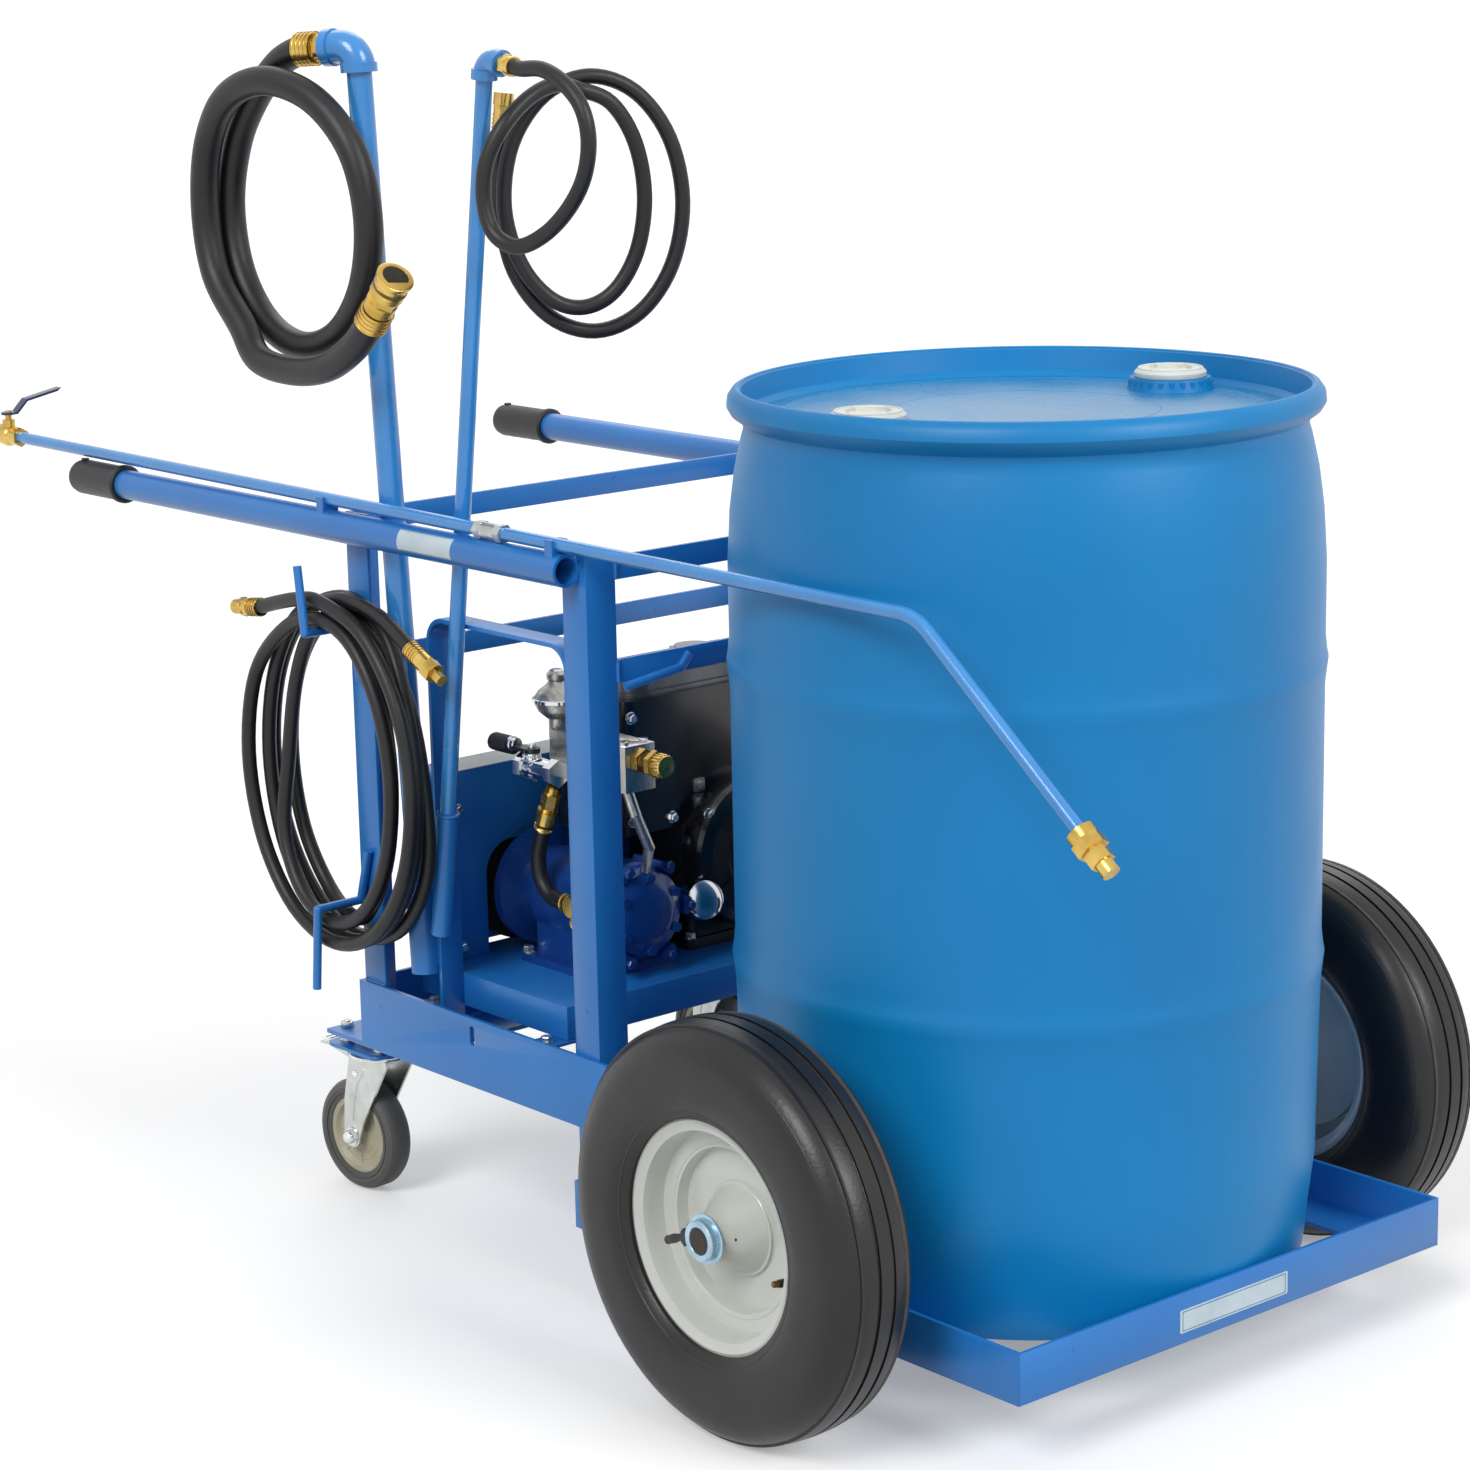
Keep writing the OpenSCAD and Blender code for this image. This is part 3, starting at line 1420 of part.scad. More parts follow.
// Places on the elbows' outlets, out from the tube's axis at the outlet's height.
function suction_out(out) = lean_out(suction_foot, -suction_lean, suction_turn, out,
    suction_l + suction_elbow_rise);
function return_out(out) = lean_out(return_foot, return_lean, 0, out, return_l + return_elbow_rise);

function start_heading(p) = unit(p[0] - p[1]);
function end_heading(p) = start_heading(flip(p));

// Coupling at a hose's end: ferrule, hexagon and mouth along a direction.
module hose_end(at, heading, ferrule_d, ferrule_l, hex_flats, hex_l, mouth_d, mouth_l) {
    translate(at) rotate([0, atan2(norm([heading.x, heading.y]), heading.z), atan2(heading.y, heading.x)]) {
        cylinder(d = ferrule_d, h = ferrule_l);
        translate([0, 0, ferrule_l]) cylinder(d = hex_flats / cos(30), h = hex_l, $fn = 6);
        translate([0, 0, ferrule_l + hex_l]) cylinder(d = mouth_d, h = mouth_l);
    }
}

// ---- suction hose: one and two thirds turns of a stiff hose hung from its elbow ----

suction_coil_x = -272;
suction_coil_z = 1098;
suction_coil_r = 140;
suction_coil_y = -296;
suction_coil_pitch = 33;
crossing_turn = 375;
crossing_reach = 80;
crossing_push = 17;

function crossing(a) = abs(a - crossing_turn) < crossing_reach
    ? pow(cos((a - crossing_turn) * 90 / crossing_reach), 2) : 0;
function suction_loop(a) = [
    suction_coil_x - suction_coil_r * sin(a),
    suction_coil_y - suction_coil_pitch * (a - 90) / 360 - crossing_push * crossing(a),
    suction_coil_z + suction_coil_r * cos(a)];
suction_reach = suction_elbow_reach + suction_nipple_l;
suction_end = [-71, -348, 1014];
suction_points = concat(
    [suction_out(suction_reach + hose_fit + hose_lead), suction_out(suction_reach + 16),
        [-292, -305, 1254], [-346, -303, 1214], [-389, -299, 1165]],
    [for (a = [90 : 30 : 510]) suction_loop(a)],
    [[-302, -341, 945], [-235, -342, 938], [-170, -344, 948], [-118, -346, 973], [-86, -347.5, 999],
        suction_end]);
suction_route = concat([suction_out(suction_reach + hose_fit)], smooth(suction_points, 2));

module suction_hose() {
    color(black) tube_along(suction_route, suction_hose_d, 8, [0, 1, 0]);
}

module suction_fittings() {
    near = suction_out(suction_elbow_reach);
    heading = end_heading(suction_route);
    color(brass) {
        hose_end(near, suction_out(suction_reach) - near, ferrule_d = suction_hose_d - 2,
            ferrule_l = suction_nipple_l - 4, hex_flats = 27, hex_l = 2, mouth_d = suction_hose_d + 1,
            mouth_l = 2);
        hose_end(suction_end + hose_fit * heading, heading, ferrule_d = suction_hose_d + 2, ferrule_l = 14,
            hex_flats = 30, hex_l = 10, mouth_d = 36, mouth_l = 26);
    }
}

// ---- return hose: a small loop, then two tall ones ----

return_plane = 62;
return_origin = [10, -262, 0];
return_side = [cos(return_plane), sin(return_plane), 0];
return_front = [sin(return_plane), -cos(return_plane), 0];
return_turns = 1.75;
return_first = 5;
return_pitch = 17;

// Turns from the top: the first is small, and the next grows to its full size on the way.
return_out_at = [93, 14];
return_half = [65, 29];
return_mid_z = [1121, -8];
return_rise = [109, 20];

function return_loop(t) = let (grown = ease((t - 0.45) / 0.4), sizes = [1, grown])
    return_origin + return_side * (return_out_at * sizes + return_half * sizes * sin(360 * t))
    + return_front * (return_first - return_pitch * t)
    + [0, 0, return_mid_z * sizes + return_rise * sizes * cos(360 * t)];
return_reach = return_elbow_reach + return_nipple_l;
return_end = [-6, -231, 1205];
return_points = concat(
    [return_out(return_reach + hose_fit + hose_lead), return_out(return_reach + 12),
        [128, -283, 1256], [158, -282, 1245], [184, -280, 1222], [193, -279, 1190], [184, -279, 1154],
        [160, -281, 1122], [126, -285, 1096],
        [90, -291, 1083], [62, -298, 1095], [50, -300, 1127], [54, -298, 1165], [61, -281, 1199],
        [61, -248, 1225], [60, -214, 1236]],
    [for (t = [0 : 1 / 12 : return_turns - 0.05]) return_loop(t)],
    [return_loop(return_turns), [-8, -236, 1150], [-7, -233, 1185], return_end]);
return_route = concat([return_out(return_reach + hose_fit)], smooth(return_points, 2));

module return_hose() {
    color(black) tube_along(return_route, return_hose_d, 6, [0.7, -0.7, 0]);
}

module return_fittings() {
    near = return_out(return_elbow_reach);
    heading = end_heading(return_route);
    color(brass) {
        hose_end(near, return_out(return_reach) - near, ferrule_d = 15, ferrule_l = 4, hex_flats = 19,
            hex_l = 9, mouth_d = 20, mouth_l = 6);
        hose_end(return_end + hose_fit * heading, heading, ferrule_d = 19, ferrule_l = 6,
            hex_flats = 17, hex_l = 4, mouth_d = 21, mouth_l = 12);
    }
}

// ---- spray hose: five turns hung over two hooks ----

// Each turn starts on the upper hook in one of six slots: layer away from the posts, level on
// the hook and half width of the turn. A turn moves on to the next slot while the slot is free.
turn_count = 5;
slot_layer = [2, 2, 1, 0, 0, 1];
slot_level = [1, 0, 0, 0, 1, 1];
slot_half = [152, 116, 92, 120, 155, 138];
spray_coil_x = -212;
layer_pitch = 17.8;
layer_y = -(post_face_y + 12);
hook_to_hose = 10;
inner_top_z = upper_hook_z + hook_d / 2 + hook_to_hose;
inner_foot_z = lower_hook_z - hook_d / 2 - hook_to_hose;
level_top = 18.6;
level_foot = 23;

function ease(t) = let (s = min(max(t, 0), 1)) s * s * (3 - 2 * s);
function slot_at(list, t) = let (turn = min(floor(t), turn_count - 1), window = 1 / turn_count,
    share = ease((t - turn - window * (turn_count - 1 - turn)) / window))
    list[turn] * (1 - share) + list[turn + 1] * share;
function spray_loop(t) = let (level = slot_at(slot_level, t), top = inner_top_z + level_top * level,
    foot = inner_foot_z - level_foot * level)
    [spray_coil_x + slot_at(slot_half, t) * sin(360 * t),
        layer_y - layer_pitch * slot_at(slot_layer, t),
        (top + foot) / 2 + (top - foot) / 2 * cos(360 * t)];
spray_start = [-346, -338, 670.5];
spray_start_run = [-32, 0, -5];
spray_end = [-55, -325, 652.5];
spray_end_run = [38, 0, -19];
spray_points = concat(
    [spray_start, spray_start - spray_start_run / 2, [-290, -338.5, 683.5], [-252, -339.5, 691.5]],
    [for (t = [0 : 1 / 12 : turn_count + eps]) spray_loop(t)],
    [[-172, -322, 694.5], [-128, -322.5, 686.5], [-92, -323.5, 670.5], spray_end - spray_end_run / 2.5,
        spray_end]);
spray_route = smooth(spray_points, 2);

module spray_hose() {
    color(black) tube_along(spray_route, spray_hose_d, 6, [0, 1, 0]);
}

module spray_fittings() {
    start = start_heading(spray_route);
    end = end_heading(spray_route);
    color(brass) {
        hose_end(spray_start + hose_fit * start, start, ferrule_d = 19, ferrule_l = 10,
            hex_flats = 19, hex_l = 8, mouth_d = 17, mouth_l = 12);
        hose_end(spray_end + hose_fit * end, end, ferrule_d = 20, ferrule_l = 14, hex_flats = 20, hex_l = 14,
            mouth_d = 13, mouth_l = 13);
    }
}

// Least gap of each hose to itself, and its length.
gap_steps = 6;
gap_skip = 12;
echo(suction_gap = least_gap(smooth(suction_points, gap_steps), suction_hose_d, gap_skip));
echo(return_gap = least_gap(smooth(return_points, gap_steps), return_hose_d, gap_skip));
echo(spray_gap = least_gap(smooth(spray_points, gap_steps), spray_hose_d, gap_skip));
echo(suction_length = route_length(smooth(suction_points, gap_steps)));
echo(return_length = route_length(smooth(return_points, gap_steps)));
echo(spray_length = route_length(smooth(spray_points, gap_steps)));

// ---- spray wand ----

module wand_pipe() {
    color(blue) wand_frame() {
        translate([wand_rear_x, 0, 0]) rod_x(wand_d, wand_bend_x - wand_rear_x);
        translate([wand_bend_x, 0, -wand_bend_r]) rotate([90, 0, 0]) rotate([0, 0, 90 - wand_drop])
            rotate_extrude(angle = wand_drop) translate([wand_bend_r, 0]) circle(d = wand_d);
        wand_end() rod_x(wand_d, wand_tip_l);
    }
}

// Places its children where the bent end starts, pointing down it.
module wand_end() {
    translate([wand_bend_x, 0, -wand_bend_r]) rotate([0, wand_drop, 0]) translate([0, 0, wand_bend_r])
        children();
}

coupling_x = 33;
coupling_l = 44;
coupling_fit = 0.2;
coupling_d = 17.4;
coupling_nut_l = 10;

// Galvanised union sleeve round the joint of the two pipes.
module wand_coupling() {
    color(steel) wand_frame() translate([coupling_x, 0, 0]) difference() {
        union() {
            rod_x(coupling_d, coupling_l);
            for (x = [0, coupling_l - coupling_nut_l]) translate([x, 0, 0]) rotate([30, 0, 0])
                hex_x(coupling_d, coupling_nut_l);
        }
        translate([-eps, 0, 0]) rod_x(wand_d + 2 * coupling_fit, coupling_l + 2 * eps);
    }
}

ball_valve_l = 52;
ball_body_d = 26;
ball_neck_d = 20;
ball_nut_l = [15, 14];
wand_boss_d = 15;
wand_boss_h = 19;
wand_stem_back = 28;
wand_stem_d = 8;
wand_stem_h = 25;
lever_rise = 14;
wand_lever_w = 12;
wand_lever_t = 3;
wand_lever_hub_d = 17;
wand_blade_rise = 8;

module wand_valve() {
    color(brass) wand_frame() translate([wand_rear_x, 0, 0]) {
        translate([-ball_nut_l[1], 0, 0]) hex_x(ball_neck_d, ball_nut_l[1]);
        translate([-ball_valve_l, 0, 0]) hex_x(ball_neck_d + 1, ball_nut_l[0]);
        translate([-ball_valve_l + 8, 0, 0]) rod_x(ball_neck_d, ball_valve_l - 12);
        translate([-wand_stem_back, 0, 0]) {
            sphere(d = ball_body_d);
            cylinder(d = wand_boss_d, h = wand_boss_h);
            cylinder(d = wand_stem_d, h = wand_stem_h + 5);
        }
    }
}

// Lever closed across the pipe: a hub plate, an upward step and a dipped blade.
module wand_lever() {
    blade_z = lever_rise + wand_blade_rise;
    color(deep_blue) wand_frame() translate([wand_rear_x - wand_stem_back, 0, wand_stem_h]) difference() {
        union() {
            cylinder(d = wand_lever_hub_d, h = wand_lever_t);
            rotate([0, 0, 90]) translate([0, wand_lever_w / 2, 0]) along_minus_y(wand_lever_w)
                polygon([[0, 0], [10, 0], [24, lever_rise], [wand_lever_l, blade_z],
                    [wand_lever_l + 5, blade_z + 4], [wand_lever_l, blade_z + wand_lever_t],
                    [23, lever_rise + wand_lever_t], [9, wand_lever_t], [0, wand_lever_t]]);
        }
        translate([0, 0, -eps]) cylinder(d = wand_stem_d + 2 * run_fit, h = wand_lever_t + 2 * eps);
    }
}

nozzle_cap_d = 27;
nozzle_nut_flats = 21;
nozzle_tip_d = 17;
nozzle_steps = [10, 22, 36, 48];

module wand_nozzle() {
    color(brass) wand_frame() wand_end() translate([wand_tip_l, 0, 0]) {
        rod_x(nozzle_cap_d, nozzle_steps[0]);
        translate([nozzle_steps[0], 0, 0]) hex_x(nozzle_cap_d, nozzle_steps[1] - nozzle_steps[0]);
        translate([nozzle_steps[1], 0, 0]) hex_x(nozzle_nut_flats, nozzle_steps[2] - nozzle_steps[1]);
        translate([nozzle_steps[2], 0, 0]) rod_x(nozzle_tip_d, nozzle_steps[3] - nozzle_steps[2]);
    }
}

platform_front_bar();
platform_rails();
chassis_side_rails();
chassis_rear_bar();
axle_brackets();
front_posts();
rear_posts();
cross_bars();
push_handles();
right_grip();
left_grip();
engine_deck();
flat_bar_hoop();
tube_sockets();
hose_hooks();
right_rim();
right_tyre();
left_rim();
left_tyre();
axle_collars();
right_caster_plate();
right_caster_fork();
right_caster_core();
right_caster_tread();
right_caster_pedal();
left_caster_plate();
left_caster_fork();
left_caster_core();
left_caster_tread();
left_caster_pedal();
engine_block();
engine_cover();
muffler();
fuel_tank();
fuel_cap();
belt_guard();
belt_drive();
pump_body();
pump_manifold();
pressure_bell();
pump_fittings();
outlet_valve();
outlet_lever();
supply_hose();
drum();
right_bung();
left_bung();
suction_tube();
suction_fittings();
suction_hose();
return_tube();
return_fittings();
return_hose();
spray_fittings();
spray_hose();
wand_pipe();
wand_coupling();
wand_valve();
wand_lever();
wand_nozzle();
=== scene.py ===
from math import cos, pi, radians, sin

import bmesh
import bpy
from mathutils import Matrix, Vector


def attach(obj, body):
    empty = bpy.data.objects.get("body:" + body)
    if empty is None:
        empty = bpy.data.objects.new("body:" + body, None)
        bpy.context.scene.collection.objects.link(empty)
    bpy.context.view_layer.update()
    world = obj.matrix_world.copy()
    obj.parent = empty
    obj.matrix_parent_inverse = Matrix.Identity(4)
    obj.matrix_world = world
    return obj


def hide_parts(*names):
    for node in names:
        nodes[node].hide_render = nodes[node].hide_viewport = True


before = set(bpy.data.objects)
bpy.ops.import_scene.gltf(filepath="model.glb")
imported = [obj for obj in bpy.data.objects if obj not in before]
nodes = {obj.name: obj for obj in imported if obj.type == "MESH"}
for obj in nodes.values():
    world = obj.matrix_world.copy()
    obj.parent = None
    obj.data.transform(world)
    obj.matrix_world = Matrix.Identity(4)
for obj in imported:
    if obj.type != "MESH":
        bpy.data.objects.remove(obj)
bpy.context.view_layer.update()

scene = bpy.context.scene
MM = 0.001
CART = "cart_frame"
UP, AHEAD = (0, 0, 1), (1, 0, 0)


def mm(*p):
    return Vector(p) * MM


# ---- camera ----

# Solved from the photograph, with the drum's known size as the scale.
CAMERA_AZIMUTH, CAMERA_ELEVATION, CAMERA_ROLL = 49.5121, 12.8384, -1.22034
CAMERA_AT = (3023.127, -2526.070, 1423.535)
CAMERA_LENS = 91.01


def make_camera():
    az, el, roll = radians(CAMERA_AZIMUTH), radians(CAMERA_ELEVATION), radians(CAMERA_ROLL)
    ahead = Vector((-sin(az) * cos(el), cos(az) * cos(el), -sin(el)))
    across = ahead.cross(Vector(UP)).normalized()
    up = across.cross(ahead)
    x = cos(roll) * across + sin(roll) * up
    y = -sin(roll) * across + cos(roll) * up
    data = bpy.data.cameras.new("photo_view")
    data.lens = CAMERA_LENS
    data.sensor_width = 36
    data.clip_end = 50
    cam = bpy.data.objects.new("photo_view", data)
    scene.collection.objects.link(cam)
    turn = Matrix((x, y, -ahead)).transposed().to_4x4()
    turn.translation = mm(*CAMERA_AT)
    cam.matrix_world = turn
    scene.camera = cam


make_camera()


# ---- materials ----

def material(name, dark, light, rough=0.4, metal=0.0, scale=12.0, rough_span=0.08, bump=0.0,
             bump_scale=240.0, coat=0.0, coat_rough=0.1, detail=4.0, stretch=(1, 1, 1), wear=None,
             spec=0.5):
    m = bpy.data.materials.new(name)
    m.use_nodes = True
    tree = m.node_tree
    shader = tree.nodes["Principled BSDF"]
    shader.inputs["Metallic"].default_value = metal
    shader.inputs["Coat Weight"].default_value = coat
    shader.inputs["Coat Roughness"].default_value = coat_rough
    shader.inputs["Specular IOR Level"].default_value = spec
    coords = tree.nodes.new("ShaderNodeTexCoord")
    place = tree.nodes.new("ShaderNodeMapping")
    place.inputs["Scale"].default_value = stretch
    tree.links.new(coords.outputs["Object"], place.inputs["Vector"])
    noise = tree.nodes.new("ShaderNodeTexNoise")
    noise.inputs["Scale"].default_value = scale
    noise.inputs["Detail"].default_value = detail
    tree.links.new(place.outputs["Vector"], noise.inputs["Vector"])
    ramp = tree.nodes.new("ShaderNodeValToRGB")
    ramp.color_ramp.elements[0].position = 0.3
    ramp.color_ramp.elements[0].color = (*dark, 1)
    ramp.color_ramp.elements[1].position = 0.7
    ramp.color_ramp.elements[1].color = (*light, 1)
    tree.links.new(noise.outputs["Fac"], ramp.inputs["Fac"])
    colour = ramp.outputs["Color"]
    if wear:
        spots = tree.nodes.new("ShaderNodeTexNoise")
        spots.inputs["Scale"].default_value = wear[1]
        spots.inputs["Detail"].default_value = 6
        tree.links.new(coords.outputs["Object"], spots.inputs["Vector"])
        limit = tree.nodes.new("ShaderNodeMapRange")
        limit.inputs["From Min"].default_value = wear[2]
        limit.inputs["From Max"].default_value = wear[2] + 0.08
        tree.links.new(spots.outputs["Fac"], limit.inputs["Value"])
        mix = tree.nodes.new("ShaderNodeMix")
        mix.data_type = "RGBA"
        mix.inputs["B"].default_value = (*wear[0], 1)
        tree.links.new(limit.outputs["Result"], mix.inputs["Factor"])
        tree.links.new(colour, mix.inputs["A"])
        colour = mix.outputs["Result"]
    tree.links.new(colour, shader.inputs["Base Color"])
    span = tree.nodes.new("ShaderNodeMapRange")
    span.inputs["To Min"].default_value = max(rough - rough_span, 0.03)
    span.inputs["To Max"].default_value = min(rough + rough_span, 1.0)
    second = tree.nodes.new("ShaderNodeTexNoise")
    second.inputs["Scale"].default_value = scale * 2.7
    tree.links.new(place.outputs["Vector"], second.inputs["Vector"])
    tree.links.new(second.outputs["Fac"], span.inputs["Value"])
    tree.links.new(span.outputs["Result"], shader.inputs["Roughness"])
    if bump:
        grain = tree.nodes.new("ShaderNodeTexNoise")
        grain.inputs["Scale"].default_value = bump_scale
        tree.links.new(place.outputs["Vector"], grain.inputs["Vector"])
        relief = tree.nodes.new("ShaderNodeBump")
        relief.inputs["Strength"].default_value = bump
        relief.inputs["Distance"].default_value = 0.001
        tree.links.new(grain.outputs["Fac"], relief.inputs["Height"])
        tree.links.new(relief.outputs["Normal"], shader.inputs["Normal"])
    return m


M = {
    "frame_paint": material("frame_paint", (0.012, 0.165, 0.520), (0.019, 0.205, 0.600), 0.38,
                            bump=0.10, bump_scale=420, coat=0.25, coat_rough=0.25, scale=5,
                            wear=((0.006, 0.085, 0.330), 60, 0.70)),
    "tube_paint": material("tube_paint", (0.030, 0.235, 0.620), (0.042, 0.285, 0.700), 0.28,
                           bump=0.06, bump_scale=300, coat=0.6, coat_rough=0.10),
    "pump_paint": material("pump_paint", (0.004, 0.045, 0.230), (0.008, 0.065, 0.300), 0.30,
                           bump=0.30, bump_scale=160, coat=0.4),
    "lever_blue": material("lever_blue", (0.004, 0.012, 0.060), (0.007, 0.020, 0.095), 0.30,
                           coat=0.3, scale=60, bump=0.1),
    "drum_plastic": material("drum_plastic", (0.000, 0.185, 0.470), (0.001, 0.220, 0.535), 0.42,
                             scale=3, bump=0.14, bump_scale=70, spec=0.4, rough_span=0.06),
    "lid_plastic": material("lid_plastic", (0.006, 0.185, 0.420), (0.045, 0.270, 0.490), 0.28,
                            scale=5, bump=0.12, bump_scale=90, spec=0.5, rough_span=0.10),
    "bung_plastic": material("bung_plastic", (0.60, 0.62, 0.57), (0.72, 0.73, 0.68), 0.45, scale=30,
                             bump=0.1),
    "tyre_rubber": material("tyre_rubber", (0.0055, 0.0055, 0.0060), (0.011, 0.0105, 0.0105), 0.36,
                            bump=0.20, bump_scale=260, scale=8, spec=0.45, rough_span=0.10,
                            wear=((0.016, 0.014, 0.012), 9, 0.62)),
    "tread_line": material("tread_line", (0.030, 0.022, 0.015), (0.060, 0.045, 0.032), 0.6,
                           scale=40),
    "white_paint": material("white_paint", (0.60, 0.62, 0.57), (0.70, 0.72, 0.68), 0.22, coat=0.6,
                            bump=0.05, bump_scale=90, scale=6),
    "collar_zinc": material("collar_zinc", (0.33, 0.50, 0.62), (0.50, 0.66, 0.78), 0.26, metal=0.75,
                            scale=60),
    "zinc": material("zinc", (0.50, 0.52, 0.50), (0.70, 0.72, 0.69), 0.24, metal=0.92, scale=40),
    "galvanised": material("galvanised", (0.42, 0.43, 0.42), (0.62, 0.63, 0.61), 0.36, metal=0.85,
                           scale=70, bump=0.1),
    "steel": material("steel", (0.36, 0.35, 0.33), (0.56, 0.55, 0.51), 0.30, metal=0.9, scale=50,
                      stretch=(1, 6, 1), bump=0.08),
    "chrome": material("chrome", (0.66, 0.67, 0.69), (0.82, 0.83, 0.84), 0.12, metal=1.0,
                       rough_span=0.05),
    "brass": material("brass", (0.52, 0.33, 0.07), (0.76, 0.53, 0.15), 0.26, metal=0.95, scale=45,
                      bump=0.10),
    "brass_dark": material("brass_dark", (0.10, 0.055, 0.020), (0.22, 0.13, 0.045), 0.34, metal=0.8,
                           scale=55, bump=0.15),
    "engine_cast": material("engine_cast", (0.006, 0.007, 0.008), (0.014, 0.015, 0.018), 0.45,
                            bump=0.4, bump_scale=150),
    "shroud": material("shroud", (0.005, 0.0055, 0.0065), (0.010, 0.011, 0.013), 0.20, coat=0.4),
    "muffler_black": material("muffler_black", (0.010, 0.010, 0.011), (0.030, 0.026, 0.023), 0.5,
                              bump=0.3, bump_scale=180, wear=((0.075, 0.038, 0.020), 20, 0.64)),
    "tank_grey": material("tank_grey", (0.10, 0.105, 0.11), (0.18, 0.185, 0.19), 0.26, metal=0.6),
    "belt": material("belt", (0.008, 0.008, 0.008), (0.018, 0.018, 0.018), 0.6, bump=0.1),
    "grip": material("grip", (0.005, 0.005, 0.006), (0.011, 0.011, 0.012), 0.50, bump=0.35,
                     bump_scale=500),
    "hose": material("hose", (0.0075, 0.0075, 0.0085), (0.015, 0.015, 0.016), 0.42, bump=0.14,
                     bump_scale=420, wear=((0.050, 0.036, 0.022), 13, 0.67), spec=0.4),
    "core": material("core", (0.40, 0.375, 0.26), (0.50, 0.47, 0.34), 0.38, scale=30, bump=0.05),
    "tread": material("tread", (0.065, 0.066, 0.063), (0.105, 0.104, 0.098), 0.55, bump=0.1),
    "black_plastic": material("black_plastic", (0.006, 0.006, 0.007), (0.013, 0.013, 0.014), 0.34),
    "tie_white": material("tie_white", (0.52, 0.54, 0.53), (0.68, 0.70, 0.69), 0.4, scale=60),
    "plate_pale": material("plate_pale", (0.50, 0.61, 0.68), (0.62, 0.72, 0.78), 0.30, scale=35),
    "plate_edge": material("plate_edge", (0.07, 0.24, 0.36), (0.11, 0.31, 0.45), 0.35, scale=35),
    # Pale grey painted highlight for the belt guard's top face: it stands in for the lit face
    # reflecting the white sky, and blue blotches break it up at random.
    "guard_top_painted_highlight": material("guard_top_painted_highlight", (0.30, 0.34, 0.35), (0.52, 0.55, 0.55), 0.42, scale=9,
                          wear=((0.10, 0.22, 0.40), 12, 0.60)),
    "oil_dark": material("oil_dark", (0.016, 0.014, 0.012), (0.050, 0.040, 0.030), 0.28, metal=0.6,
                         scale=30),
}
NODE_LOOK = {
    "frame_paint": ["platform_front_bar", "platform_rails", "chassis_side_rails",
                    "chassis_rear_bar",
                    "axle_brackets", "front_posts", "rear_posts", "cross_bars", "engine_deck",
                    "flat_bar_hoop", "tube_sockets", "hose_hooks", "belt_guard", "push_handles"],
    "tube_paint": ["suction_tube", "return_tube", "wand_pipe"],
    "grip": ["right_grip", "left_grip"],
    "white_paint": ["right_rim", "left_rim"],
    "tyre_rubber": ["right_tyre", "left_tyre"],
    "collar_zinc": ["axle_collars"],
    "zinc": ["right_caster_plate", "right_caster_fork", "right_caster_pedal", "left_caster_plate",
             "left_caster_fork", "left_caster_pedal"],
    "core": ["right_caster_core", "left_caster_core"],
    "tread": ["right_caster_tread", "left_caster_tread"],
    "engine_cast": ["engine_block"],
    "shroud": ["engine_cover", "fuel_cap"],
    "tank_grey": ["fuel_tank"],
    "belt": ["belt_drive"],
    "pump_paint": ["pump_body"],
    "steel": ["pump_manifold", "pressure_bell"],
    "brass": ["pump_fittings", "suction_fittings", "return_fittings", "spray_fittings",
              "wand_valve", "wand_nozzle"],
    "chrome": ["outlet_valve"],
    "black_plastic": ["outlet_lever"],
    "muffler_black": ["muffler"],
    "hose": ["supply_hose", "suction_hose", "return_hose", "spray_hose"],
    "drum_plastic": ["drum"],
    "bung_plastic": ["right_bung", "left_bung"],
    "galvanised": ["wand_coupling"],
    "lever_blue": ["wand_lever"],
}


def soften(obj, angle):
    """Rounds the shading over shallow angles and keeps real edges crisp."""
    m = obj.modifiers.new("edges", "EDGE_SPLIT")
    m.split_angle = radians(angle)


ROUND_EDGED = {"platform_front_bar": 1.0, "platform_rails": 1.0, "chassis_side_rails": 1.0,
               "chassis_rear_bar": 1.0, "axle_brackets": 0.8, "front_posts": 1.0, "rear_posts": 1.0,
               "cross_bars": 0.8, "engine_deck": 1.2, "flat_bar_hoop": 0.8, "belt_guard": 1.0,
               "right_caster_plate": 0.5, "left_caster_plate": 0.5, "engine_block": 1.2,
               "pump_manifold": 0.8, "right_caster_pedal": 0.5, "left_caster_pedal": 0.5}


def dress(obj, look, edge):
    """Gives a CAD node its material, smooth curves and, where asked, slightly worn edges."""
    mesh = obj.data
    mesh.materials.clear()
    mesh.materials.append(M[look])
    mesh.attributes.remove(mesh.attributes["custom_normal"])
    for f in mesh.polygons:
        f.use_smooth = True
    weld = obj.modifiers.new("weld", "WELD")
    weld.merge_threshold = 0.00001
    if edge:
        flat = obj.modifiers.new("flat", "DECIMATE")
        flat.decimate_type = "DISSOLVE"
        flat.angle_limit = radians(0.5)
        bevel = obj.modifiers.new("bevel", "BEVEL")
        bevel.width = edge * MM
        bevel.segments = 2
        bevel.limit_method = "ANGLE"
        bevel.angle_limit = radians(40)
        bevel.harden_normals = False
    soften(obj, 34)


for look, names in NODE_LOOK.items():
    for n in names:
        dress(nodes[n], look, ROUND_EDGED.get(n, 0))


# ---- building helpers ----


